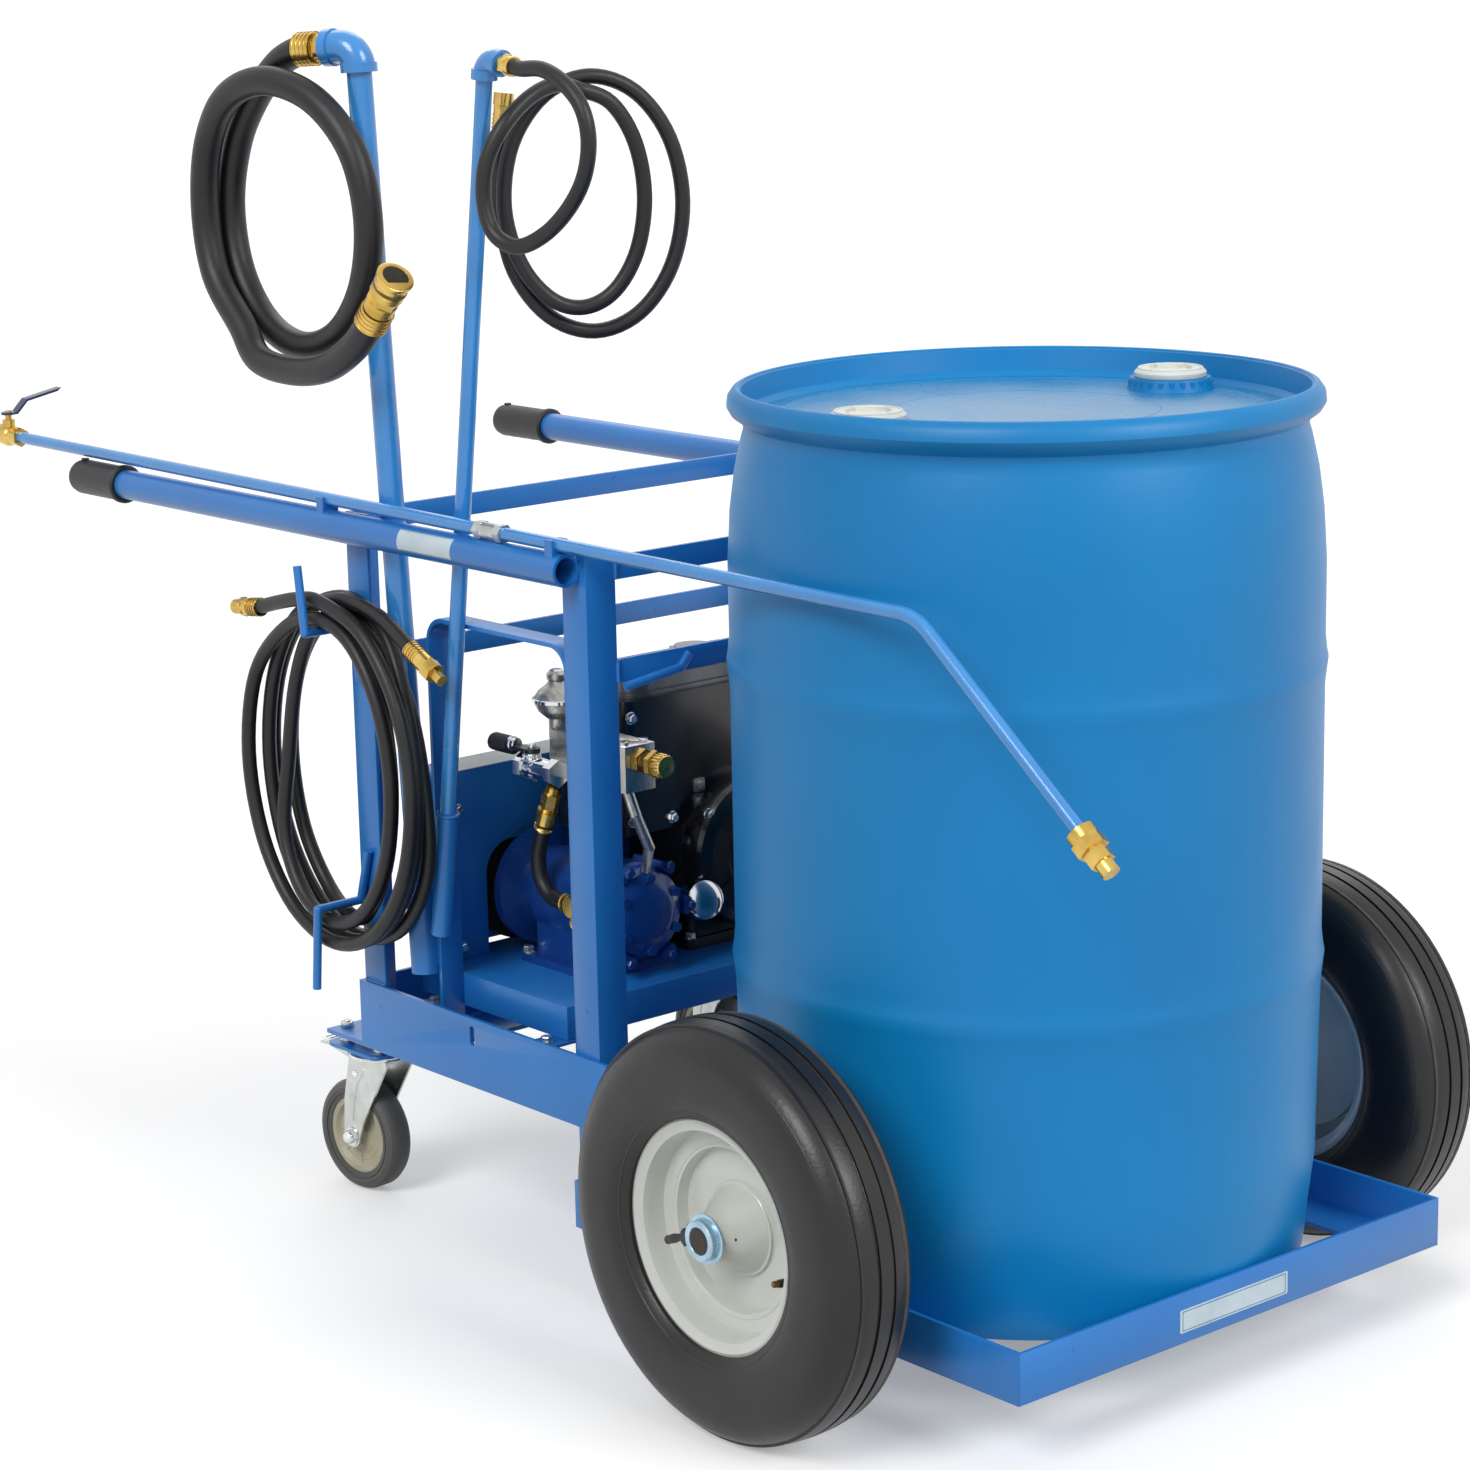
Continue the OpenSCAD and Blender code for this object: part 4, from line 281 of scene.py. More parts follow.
def finish_mesh(name, bm, look, body, split=35):
    """Turns the mesh into a smooth piece with its material and body."""
    mesh = bpy.data.meshes.new(name)
    bmesh.ops.remove_doubles(bm, verts=bm.verts, dist=1e-6)
    bmesh.ops.recalc_face_normals(bm, faces=bm.faces)
    bm.to_mesh(mesh)
    bm.free()
    for f in mesh.polygons:
        f.use_smooth = True
    obj = bpy.data.objects.new(name, mesh)
    scene.collection.objects.link(obj)
    mesh.materials.append(M[look])
    soften(obj, split)
    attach(obj, body)
    return obj


def frame_on(at, along, about=0.0):
    """Matrix at a point in millimetres, whose local Z runs along a direction."""
    z = Vector(along).normalized()
    x = Vector(UP).cross(z)
    x = Vector(AHEAD) if x.length < 1e-4 else x.normalized()
    y = z.cross(x)
    m = Matrix((x, y, z)).transposed().to_4x4()
    m = m @ Matrix.Rotation(radians(about), 4, "Z")
    m.translation = Vector(at)
    return m


def add_lathe(bm, profile, place, sides=48):
    """Profile of (radius, height) in millimetres, turned about the place's Z."""
    rings = []
    for r, h in profile:
        if r <= 1e-6:
            rings.append([bm.verts.new((place @ Vector((0, 0, h))) * MM)])
            continue
        turns = [radians(360.0 * k / sides) for k in range(sides)]
        rings.append([bm.verts.new((place @ Vector((r * cos(a), r * sin(a), h))) * MM)
                      for a in turns])
    for a, b in zip(rings, rings[1:]):
        for k in range(sides):
            n = (k + 1) % sides
            if len(a) == 1 and len(b) == 1:
                continue
            if len(a) == 1:
                bm.faces.new((a[0], b[k], b[n]))
            elif len(b) == 1:
                bm.faces.new((a[k], b[0], a[n]))
            else:
                bm.faces.new((a[k], b[k], b[n], a[n]))


def add_prism(bm, outline, place, low, high, taper=1.0):
    """Closed outline of (x, y) in millimetres, drawn up from low to high."""
    bottom = [bm.verts.new((place @ Vector((x, y, low))) * MM) for x, y in outline]
    top = [bm.verts.new((place @ Vector((x * taper, y * taper, high))) * MM) for x, y in outline]
    bm.faces.new(bottom[::-1])
    bm.faces.new(top)
    for k in range(len(outline)):
        n = (k + 1) % len(outline)
        bm.faces.new((bottom[k], bottom[n], top[n], top[k]))


def hexagon(flats, about=0.0):
    r = flats / 2 / cos(pi / 6)
    return [(r * cos(radians(60 * k + about)), r * sin(radians(60 * k + about))) for k in range(6)]


def rounded(w, h, r, steps=5):
    out = []
    for cx, cy, a0 in ((w / 2 - r, h / 2 - r, 0), (-w / 2 + r, h / 2 - r, 90),
                       (-w / 2 + r, -h / 2 + r, 180), (w / 2 - r, -h / 2 + r, 270)):
        for k in range(steps + 1):
            a = radians(a0 + 90 * k / steps)
            out.append((cx + r * cos(a), cy + r * sin(a)))
    return out


def lathe(name, profile, at, along, look, body, sides=48, split=35, about=0.0):
    bm = bmesh.new()
    add_lathe(bm, profile, frame_on(at, along, about), sides)
    return finish_mesh(name, bm, look, body, split=split)


def prism(name, outline, at, along, low, high, look, body, about=0.0, bevel=0.0, taper=1.0):
    bm = bmesh.new()
    add_prism(bm, outline, frame_on(at, along, about), low, high, taper)
    if bevel:
        bmesh.ops.bevel(bm, geom=list(bm.edges), offset=bevel * MM, segments=2, affect="EDGES")
    return finish_mesh(name, bm, look, body)


def between(a, b, c, d, t):
    """Catmull-Rom point between b and c."""
    return 0.5 * (2 * b + (c - a) * t + (2 * a - 5 * b + 4 * c - d) * t * t
                  + (3 * b - a - 3 * c + d) * t * t * t)


def smooth(points, steps):
    p = [Vector(q) for q in points]
    out = []
    for i in range(len(p) - 1):
        for k in range(steps):
            out.append(between(p[max(i - 1, 0)], p[i], p[i + 1], p[min(i + 2, len(p) - 1)],
                               k / steps))
    return out + [p[-1]]


def tube(name, route, d, look, body, sides=10, cyclic=False):
    data = bpy.data.curves.new(name, "CURVE")
    data.dimensions = "3D"
    data.bevel_depth = d / 2 * MM
    data.bevel_resolution = sides
    data.use_fill_caps = True
    line = data.splines.new("POLY")
    line.points.add(len(route) - 1)
    for p, q in zip(line.points, route):
        p.co = (*(Vector(q) * MM), 1)
    line.use_cyclic_u = cyclic
    data.materials.append(M[look])
    obj = bpy.data.objects.new(name, data)
    scene.collection.objects.link(obj)
    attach(obj, body)
    return obj


# ---- hoses: the same routes as the solids', drawn finer ----

SUCTION_BASE = Vector((-130.6475, -278.3, 294.293))
RETURN_BASE = Vector((-92.594, -283.2, 345.257))
SUCTION_LEAN, RETURN_LEAN = -3.3, 8.1
# Each tube's length and its elbow's rise.
SUCTION_UP, RETURN_UP = 953 + 27, 908 + 20
SUCTION_TURN = 200
# The suction hose's coil, and where it is pushed outward to cross itself.
COIL_X, COIL_Y, COIL_Z, COIL_R, COIL_PITCH = -272, -296, 1098, 140, 33
CROSSING_AT, CROSSING_HALF, CROSSING_PUSH = 375, 80, 17
# The plane of the return hose's coil, from the cart's length.
RETURN_PLANE = 62


def lean_out(base, lean, turn, out, up):
    """A point up along a tube that leans, and out from it towards its elbow's turn."""
    a, t = radians(lean), radians(turn)
    return base + Vector((out * cos(t) * cos(a) + up * sin(a), out * sin(t),
                          up * cos(a) - out * cos(t) * sin(a)))


def suction_out(out):
    return lean_out(SUCTION_BASE, SUCTION_LEAN, SUCTION_TURN, out, SUCTION_UP)


def return_out(out):
    return lean_out(RETURN_BASE, RETURN_LEAN, 0, out, RETURN_UP)


def suction_loop(a):
    """The suction hose's coil at an angle in degrees from its top."""
    past = a - CROSSING_AT
    near = abs(past) < CROSSING_HALF
    push = CROSSING_PUSH * cos(radians(past * 90 / CROSSING_HALF)) ** 2 if near else 0
    return Vector((COIL_X - COIL_R * sin(radians(a)), COIL_Y - COIL_PITCH * (a - 90) / 360 - push,
                   COIL_Z + COIL_R * cos(radians(a))))


def ease(t):
    """Smooth step from 0 to 1."""
    s = min(max(t, 0), 1)
    return s * s * (3 - 2 * s)


def return_loop(t):
    """The return hose's coil after t turns; it widens with g."""
    plane = radians(RETURN_PLANE)
    side, front = Vector((cos(plane), sin(plane), 0)), Vector((sin(plane), -cos(plane), 0))
    g, a = ease((t - 0.45) / 0.4), 2 * pi * t
    return (Vector((10, -262, 0)) + side * (93 + 14 * g + (65 + 29 * g) * sin(a))
            + front * (5 - 17 * t) + Vector((0, 0, 1121 - 8 * g + (109 + 20 * g) * cos(a))))


# At each whole turn of the spray hose: its layer outward, its level and its half width.
SLOT_LAYER = (2, 2, 1, 0, 0, 1)
SLOT_LEVEL = (1, 0, 0, 0, 1, 1)
SLOT_HALF = (152, 116, 92, 120, 155, 138)


def slot_at(values, t):
    """Eases from one turn's value to the next over a fifth of a turn."""
    turn = min(int(t + 1e-9), 4)
    share = ease((t - turn - 0.2 * (4 - turn)) / 0.2)
    return values[turn] * (1 - share) + values[turn + 1] * share


def spray_loop(t):
    """The spray hose's coil over its two hooks after t turns."""
    level = slot_at(SLOT_LEVEL, t)
    top, foot = 674.75 + 18.6 * level, 341.25 - 23 * level
    return Vector((-212 + slot_at(SLOT_HALF, t) * sin(2 * pi * t),
                   -304.2 - 17.8 * slot_at(SLOT_LAYER, t),
                   (top + foot) / 2 + (top - foot) / 2 * cos(2 * pi * t)))


suction_route = [suction_out(52.3)] + smooth(
    [suction_out(54.3), suction_out(68), (-292, -305, 1254), (-346, -303, 1214), (-389, -299, 1165)]
    + [suction_loop(a) for a in range(90, 511, 30)]
    + [(-302, -341, 945), (-235, -342, 938), (-170, -344, 948), (-118, -346, 973),
       (-86, -347.5, 999), (-71, -348, 1014)], 8)
return_route = [return_out(47.3)] + smooth(
    [return_out(49.3), return_out(59), (128, -283, 1256), (158, -282, 1245), (184, -280, 1222),
     (193, -279, 1190), (184, -279, 1154), (160, -281, 1122), (126, -285, 1096), (90, -291, 1083),
     (62, -298, 1095), (50, -300, 1127), (54, -298, 1165), (61, -281, 1199), (61, -248, 1225),
     (60, -214, 1236)]
    + [return_loop(k / 12) for k in range(21)]
    + [return_loop(1.75), (-8, -236, 1150), (-7, -233, 1185), (-6, -231, 1205)], 6)
spray_route = smooth(
    [(-346, -338, 670.5), (-330, -338, 673), (-290, -338.5, 683.5), (-252, -339.5, 691.5)]
    + [spray_loop(k / 12) for k in range(61)]
    + [(-172, -322, 694.5), (-128, -322.5, 686.5), (-92, -323.5, 670.5), (-70.2, -325, 660.1),
       (-55, -325, 652.5)], 6)
supply_route = smooth([(-43.41, -177.96, 453.09), (-50, -178, 436), (-57, -178, 412),
                       (-53, -178, 388), (-38, -178, 373), (-20, -178, 370), (-6.3, -178, 370)], 8)

suction = tube("suction_hose_line", suction_route, 31, "hose", "suction_line", 12)
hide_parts("suction_hose")
returning = tube("return_hose_line", return_route, 16, "hose", "return_line", 8)
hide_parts("return_hose")
spray = tube("spray_hose_line", spray_route, 16, "hose", CART, 8)
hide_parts("spray_hose")
supply = tube("supply_hose_line", supply_route, 17, "hose", CART, 8)
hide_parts("supply_hose")

# ---- wheels ----

def ring(bm, place, r, h, w, t):
    """Closed low ring of width w and rise t on a face, about the place's Z."""
    add_lathe(bm,
              [(r - w, h - 1), (r - w, h), (r - w * 0.4, h + t), (r + w * 0.4, h + t), (r + w, h),
               (r + w, h - 1), (r - w, h - 1)], place, 96)


def hex_bolt(bm, place, flats, head, washer=0.0, about=0.0):
    """Washer and a chamfered hexagon head on the place's XY plane."""
    if washer:
        add_lathe(bm,
                  [(0, 0), (washer / 2, 0), (washer / 2, 1.2), (washer / 2 - 0.4, 1.6), (0, 1.6)],
                  place, 24)
    base = 1.6 if washer else 0.0
    add_prism(bm, hexagon(flats, about), place, base, base + head * 0.8)
    add_prism(bm, hexagon(flats, about), place @ Matrix.Translation((0, 0, base + head * 0.8)), 0,
              head * 0.2, 0.86)


def bolts(name, spots, along, flats, head, washer, look, body, about=15.0):
    bm = bmesh.new()
    for k, p in enumerate(spots):
        hex_bolt(bm, frame_on(p, along, about + 11 * k), flats, head, washer)
    return finish_mesh(name, bm, look, body)


def swept(name, route, radii, look, body, sides=12):
    """Closed round bar along a route, with its own radius at each point."""
    bm = bmesh.new()
    last = len(route) - 1
    rings = []
    for i, p in enumerate(route):
        place = frame_on(p, route[min(i + 1, last)] - route[max(i - 1, 0)])
        rings.append([bm.verts.new((place @ Vector((radii[i] * cos(2 * pi * k / sides),
                                                    radii[i] * sin(2 * pi * k / sides), 0))) * MM)
                      for k in range(sides)])
    for a, b in zip(rings, rings[1:]):
        for k in range(sides):
            n = (k + 1) % sides
            bm.faces.new((a[k], a[n], b[n], b[k]))
    bm.faces.new(rings[0][::-1])
    bm.faces.new(rings[-1])
    return finish_mesh(name, bm, look, body, split=50)


def bead(name, a, b, d, body, look="frame_paint"):
    """Weld bead with its ripples between two points."""
    a, b = Vector(a), Vector(b)
    count = max(int((b - a).length / 1.4), 6)
    route = [a.lerp(b, k / count) for k in range(count + 1)]
    radii = [d / 2 * (0.92 + 0.16 * (k % 2) + 0.06 * sin(k * 1.7)) for k in range(count + 1)]
    return swept(name, route, radii, look, body)


# The main axle, and the outward place of the retaining pin.
WHEEL_X, WHEEL_Z, WHEEL_Y = 523.7, 203.2, 400.0
PIN_Y = 445.4
for side, s in (("right", -1), ("left", 1)):
    out, centre, body = (0, s, 0), (WHEEL_X, s * WHEEL_Y, WHEEL_Z), side + "_wheel"
    bm = bmesh.new()
    place, inner = frame_on(centre, out), frame_on(centre, (0, -s, 0))
    for where in (place, inner):
        ring(bm, where, 122.5, 45.4, 1.6, 0.8)
        ring(bm, where, 138.5, 49.4, 1.2, 0.5)
        ring(bm, where, 178.0, 46.6, 1.2, 0.7)
        ring(bm, where, 186.0, 43.2, 1.0, 0.7)
    for row in (9, 27):
        add_lathe(bm, [(198.0, row - 2.05), (201.0, row - 2.05), (200.4, row), (201.0, row + 2.05),
                       (198.0, row + 2.05), (198.0, row - 2.05)], place, 96)
    finish_mesh(side + "_tyre_rings", bm, "tyre_rubber", body)
    bm = bmesh.new()
    for row in (-27, -9):
        add_lathe(bm, [(198.0, row - 2.05), (200.6, row - 2.05), (200.2, row), (200.6, row + 2.05),
                       (198.0, row + 2.05), (198.0, row - 2.05)], place, 96)
    finish_mesh(side + "_tread_lines", bm, "tread_line", body)
    # Valve stem through the rim's well, and its cap.
    stem = frame_on((WHEEL_X + 90.5, s * (WHEEL_Y + 12), WHEEL_Z - 24), (-0.20, s * 0.95, 0.06))
    bm = bmesh.new()
    add_lathe(bm, [(0, 0), (7.5, 0), (7.5, 2), (5.2, 4), (4.2, 9), (3.9, 17), (0, 17)], stem, 24)
    finish_mesh(side + "_valve_stem", bm, "black_plastic", body)
    bm = bmesh.new()
    add_lathe(bm, [(0, 16.5), (3.2, 16.5), (3.2, 22), (2.6, 23), (0, 23)], stem, 20)
    finish_mesh(side + "_valve_cap", bm, "brass_dark", body)
    # Grease plug on the hub's cone.
    bm = bmesh.new()
    add_lathe(bm, [(0, -3), (2.6, -3), (2.6, 0.6), (1.4, 1.4), (0, 1.4)],
              frame_on((WHEEL_X + 24.5, s * (WHEEL_Y + 26.5), WHEEL_Z + 2.5),
                       (0.62, s * 0.78, 0.08)), 16)
    finish_mesh(side + "_hub_plug", bm, "oil_dark", body)
    # Rim's seam bead where the disc is welded into the well.
    bm = bmesh.new()
    ring(bm, place, 84.0, 9.4, 1.5, 0.7)
    ring(bm, place, 44.0, 0.2, 1.6, 0.8)
    finish_mesh(side + "_rim_seams", bm, "white_paint", body)
    # Fixed axle end: washer, dark domed end and the rubber grip of the retaining pin.
    face = frame_on((WHEEL_X, s * 440.3, WHEEL_Z), out)
    bm = bmesh.new()
    add_lathe(bm, [(20.1, 0.2), (24.5, 0.2), (24.5, 1.4), (23.6, 1.9), (20.1, 1.9), (20.1, 0.2)],
              face, 48)
    add_lathe(bm, [(12.9, 9.0), (19.2, 9.0), (18.6, 9.9), (13.6, 9.9), (12.9, 9.0)], face, 48)
    finish_mesh(side + "_axle_washer", bm, "collar_zinc", CART)
    bm = bmesh.new()
    add_lathe(bm, [(0, 9.9), (12.8, 9.9), (12.3, 10.06), (9.0, 10.14), (0, 10.18)], face, 40)
    finish_mesh(side + "_axle_end", bm, "oil_dark", CART)
    grip = smooth([(WHEEL_X - back, s * PIN_Y, WHEEL_Z - drop)
                   for back, drop in ((17.5, 1), (24, 3), (33, 6), (43, 10), (50, 13))], 4)
    radii = [4.7 * (1.0 - 0.30 * sin(pi * k / 11)) if k < 12 else 4.3 for k in range(len(grip))]
    swept(side + "_pin_grip", grip, radii, "black_plastic", CART, 18)
    prism(side + "_pin_loop", rounded(9, 17, 4), (WHEEL_X - 22.5, s * PIN_Y, WHEEL_Z - 2.5), out,
          -3.6, 3.6, "black_plastic", CART, bevel=1.0)
    lathe(side + "_collar_screw", [(0, 0), (3.6, 0), (3.6, 1.0), (2.0, 1.2), (2.0, 0.4), (0, 0.4)],
          (WHEEL_X - 17.0, s * PIN_Y, WHEEL_Z + 10.6), (-0.85, 0, 0.53), "oil_dark", CART, 20)

# ---- casters ----

TURN = radians(5.4)
# The swivel axis; the wheel's axle and the pedal's pin in the caster's own frame.
SWIVEL_X, SWIVEL_Y = -258, 254
AXLE_X, AXLE_Z = -33, 63.5
PEDAL_X, PEDAL_Z = -24, 152
for side, s in (("right", -1), ("left", 1)):
    pivot = Vector((SWIVEL_X, s * SWIVEL_Y, 0))

    def spot(x, y, z, s=s, pivot=pivot):
        """A point of the right caster's own frame, mirrored for the left one."""
        return Vector((pivot.x + x * cos(TURN) - y * sin(TURN),
                       pivot.y - s * (x * sin(TURN) + y * cos(TURN)), z))

    def way(x, y, z, s=s):
        return Vector((x * cos(TURN) - y * sin(TURN), -s * (x * sin(TURN) + y * cos(TURN)), z))

    body = side + "_caster"
    prism(side + "_mount_plate", rounded(92.8, 83.8, 8.4), pivot, UP, 172.5, 176.4,
          "frame_paint", CART, bevel=0.5)
    bm = bmesh.new()
    for x in (-31, 31):
        for y in (-23, 23):
            place = frame_on((SWIVEL_X + x, s * SWIVEL_Y + y, 171.0), UP)
            add_lathe(bm, [(0, 0), (6.6, 0), (7.4, 0.8), (7.4, 1.6), (0, 1.6)], place, 24)
            add_lathe(bm, [(0, 5.4), (8.6, 5.4), (8.6, 6.6), (0, 6.6)], place, 24)
    finish_mesh(side + "_plate_bolts", bm, "zinc", CART)
    # Upper and lower race cups with the black gap between them.
    race = frame_on((SWIVEL_X, s * SWIVEL_Y, 162.4), UP)
    bm = bmesh.new()
    add_lathe(bm,
              [(20, 6.4), (31, 6.4), (35.2, 5.4), (36.4, 4.0), (36.0, 2.8), (34.6, 3.6), (30, 4.6),
               (20, 4.6), (20, 6.4)], race, 64)
    add_lathe(bm, [(20, -0.6), (33.4, -0.6), (35.0, 0.6), (34.6, 2.0), (33.2, 1.4), (20, 1.2),
                   (20, -0.6)],
              race, 64)
    finish_mesh(side + "_race_cups", bm, "chrome", body)
    bm = bmesh.new()
    for y in (-1, 1):
        # Domed axle nut with its washer on each leg.
        nut = frame_on(spot(AXLE_X, y * 25.6, AXLE_Z), way(0, y, 0))
        add_lathe(bm, [(0, -4.6), (10.5, -4.6), (10.5, -3.6), (0, -3.6)], nut, 28)
        add_lathe(bm, [(0, 0), (7.4, 0), (6.6, 2.6), (4.4, 4.6), (0, 5.6)], nut, 28)
        # Rivet head near the top of the leg.
        head = frame_on(spot(-23, y * 20.6, 139), way(0, y, 0))
        add_lathe(bm, [(0, -0.5), (4.6, -0.5), (4.2, 1.0), (2.4, 2.0), (0, 2.3)], head, 24)
    finish_mesh(side + "_axle_nuts", bm, "chrome", body)
    bm = bmesh.new()
    for y in (-1, 1):
        # Pressed rib that stiffens the leg.
        line = [spot(-30, y * 20.4, 84), spot(-27, y * 20.4, 104), spot(-21, y * 20.4, 126),
                spot(-8, y * 20.4, 146)]
        for a, b in zip(line, line[1:]):
            way_along = b - a
            add_lathe(bm,
                      [(0, -1), (1.3, -1), (1.3, way_along.length + 1), (0, way_along.length + 1)],
                      frame_on(a, way_along), 10)
    finish_mesh(side + "_leg_ribs", bm, "zinc", body)
    # Brake pedal: folded sides, a ribbed toe and the spring round its pin.
    pedal = side + "_pedal"
    bm = bmesh.new()
    for k in range(5):
        x = -26 - 7.5 * k
        z = PEDAL_Z + 3.0 + 14 * min(-x / 46, 1.0) + (0.1 if k > 3 else 0)
        add_lathe(bm, [(0, -13), (0.9, -13), (0.9, 13), (0, 13)],
                  frame_on(spot(PEDAL_X + x, 0, z), way(0, 1, 0)), 8)
    finish_mesh(side + "_pedal_ribs", bm, "zinc", pedal)
    coil = [spot(PEDAL_X + 4.6 * cos(k * 0.9), -12 + 24 * k / 60, PEDAL_Z + 4.6 * sin(k * 0.9))
            for k in range(61)]
    tube(side + "_pedal_spring", coil, 1.4, "oil_dark", pedal, 3)
    # Wheel: rings on the core, hub cap ring and the tread's moulded lines.
    spin = side + "_caster_wheel"
    bm = bmesh.new()
    for y in (-1, 1):
        hub = frame_on(spot(AXLE_X, 0, AXLE_Z), way(0, y, 0))
        ring(bm, hub, 41.6, 12.0, 1.0, 0.4)
        ring(bm, hub, 30.0, 7.0, 0.9, 0.5)
        ring(bm, hub, 22.6, 7.0, 0.9, 0.5)
        for k in range(8):
            a = radians(45 * k)
            spoke = hub @ Vector((31.5 * cos(a), 31.5 * sin(a), 7.0))
            away = (hub @ Vector((cos(a), sin(a), 0))) - (hub @ Vector((0, 0, 0)))
            add_lathe(bm, [(0, -6.5), (1.1, -6.5), (1.1, 4), (0, 4)], frame_on(spoke, away), 8)
    finish_mesh(side + "_core_ribs", bm, "core", spin)
    bm = bmesh.new()
    for y in (-1, 1):
        hub = frame_on(spot(AXLE_X, 0, AXLE_Z), way(0, y, 0))
        ring(bm, hub, 50.0, 15.6, 0.8, 0.4)
        add_lathe(bm, [(5.4, 14.6), (9.6, 14.6), (9.6, 15.9), (5.4, 15.9), (5.4, 14.6)], hub, 32)
    finish_mesh(side + "_tread_rings", bm, "tread", spin)

# ---- bare plates ----

def arc_sheet(name, y0, z0, r, a0, a1, x0, x1, t, look, body, steps=14):
    """Thin sheet bent round a tube along X; angles run up from the outward side."""
    bm = bmesh.new()
    rows = []
    for k in range(steps + 1):
        a = radians(a0 + (a1 - a0) * k / steps)
        rows.append([bm.verts.new(mm(x, y0 - rr * cos(a), z0 + rr * sin(a)))
                     for rr in (r, r + t) for x in (x0, x1)])
    for a, b in zip(rows, rows[1:]):
        bm.faces.new((a[0], a[1], b[1], b[0]))
        bm.faces.new((a[2], b[2], b[3], a[3]))
        bm.faces.new((a[0], b[0], b[2], a[2]))
        bm.faces.new((a[1], a[3], b[3], b[1]))
    bm.faces.new((rows[0][0], rows[0][2], rows[0][3], rows[0][1]))
    bm.faces.new((rows[-1][0], rows[-1][1], rows[-1][3], rows[-1][2]))
    return finish_mesh(name, bm, look, body)


HANDLE_Y, HANDLE_Z = 308.9, 770.7
arc_sheet("handle_plate", -HANDLE_Y, HANDLE_Z, 16.72, -26, 52, -87, 5, 0.30, "plate_pale", CART)
for k, (a0, a1) in enumerate(((-24.5, -22.5), (48.5, 50.5))):
    arc_sheet(f"handle_plate_line_{k}", -HANDLE_Y, HANDLE_Z, 17.03, a0, a1, -85, 3, 0.06,
              "plate_edge", CART, 3)
prism("bar_plate", rounded(152, 23, 1.6), (789, -7.5, 98.5), AHEAD, -0.1, 0.35, "plate_pale",
      CART)
bm = bmesh.new()
for y, z, w, h in ((-7.5, 108.0, 146, 1.1), (-7.5, 89.0, 146, 1.1), (-80.0, 98.5, 1.1, 20.1),
                   (65.0, 98.5, 1.1, 20.1)):
    add_prism(bm, rounded(w, h, 0.4, 2), frame_on((789.35, y, z), AHEAD), -0.1, 0.10)
finish_mesh("bar_plate_border", bm, "plate_edge", CART)

# ---- frame: welds and bolts ----

for s in (-1, 1):
    tag = "right" if s < 0 else "left"
    for k, (x, low, high) in enumerate(((-227.6, 761, 783), (-227.6, 609, 631), (184.4, 757, 779),
                                        (184.4, 652, 674))):
        bead(f"{tag}_bar_weld_{k}", (x, s * 254.1, low), (x, s * 254.1, high), 4.4, CART)
    for k, (x0, x1) in enumerate(((147, 174), (-226, -190))):
        for m, dz in enumerate((-10, 10)):
            bead(f"{tag}_handle_weld_{k}_{m}", (x0, s * 294.0, HANDLE_Z + dz),
                 (x1, s * 294.0, HANDLE_Z + dz), 4.0, CART)
    if s < 0:
        for k, x in enumerate((-114.6, -108.4, 120.4, 126.6)):
            bead(f"hoop_weld_{k}", (x, s * 247, 192.4), (x, s * 272, 192.4), 4.0, CART)
    for k, dx in enumerate((-55.4, 55.4)):
        bead(f"{tag}_bracket_weld_{k}", (WHEEL_X + dx, s * 297.6, 80),
             (WHEEL_X + dx, s * 297.6, 125), 4.4, CART)
    bead(f"{tag}_bracket_weld_top", (WHEEL_X - 50, s * 297.2, 127.2),
         (WHEEL_X + 50, s * 297.2, 127.2), 4.0, CART)
    bead(f"{tag}_post_foot_weld", (147, s * 291.4, 192.8), (183, s * 291.4, 192.8), 4.0, CART)
    bead(f"{tag}_rear_post_weld", (-226, s * 291.4, 263.6), (-190, s * 291.4, 263.6), 3.6, CART)
# Each hook's inner weld leans to the front, and its outer one to the rear.
for k, (z, low_x, high_x) in enumerate(((612, -213.5, -211.5), (640, -218.5, -220.5),
                                        (372, -218.5, -220.5), (402, -213.5, -211.5))):
    bead(f"hook_weld_{k}", (low_x, -294.6, z - 7), (high_x, -294.6, z + 7), 5.0, CART)
for k, (a, b) in enumerate((((189.2, -249, 647), (186.4, -230, 650)),
                            ((187.0, -177, 656), (186.6, -168, 664)))):
    bead(f"rod_weld_{k}", a, b, 4.6, CART)
bolts("pump_foot_bolts", [(-99, -163, 295), (-99, -61, 295), (12, -163, 295), (12, -61, 295)], UP,
      11, 5.5, 15, "zinc", CART)
bolts("engine_foot_bolts", [(-117, -10, 298), (-117, 130, 298), (-8, -10, 298), (-8, 130, 298)],
      UP, 11, 5.5, 15, "zinc", CART)
bolts("seat_clip_bolts",
      [(-141, s * 262, 249) for s in (-1, 1)] + [(57, s * 262, 249) for s in (-1, 1)],
      UP, 11, 5.0, 16, "zinc", CART)
# Tube sockets: rolled rims.
for name, base, lean, r, up in (("suction", Vector((-130.4, -278.3, 290)), -3.3, 16.35, 135),
                                ("return", Vector((-93.2, -283.2, 341)), 8.1, 11.55, 137)):
    top = lean_out(base, lean, 0, 0, up)
    axis = (sin(radians(lean)), 0, cos(radians(lean)))
    lathe(name + "_socket_rim",
          [(r - 2.2, -2.5), (r + 0.4, -3), (r + 1.5, -1.5), (r + 1.2, 0.2), (r, 1.0),
           (r - 1.6, 0.8), (r - 2.2, -0.6), (r - 2.2, -2.5)], top, axis,
          "frame_paint", CART)
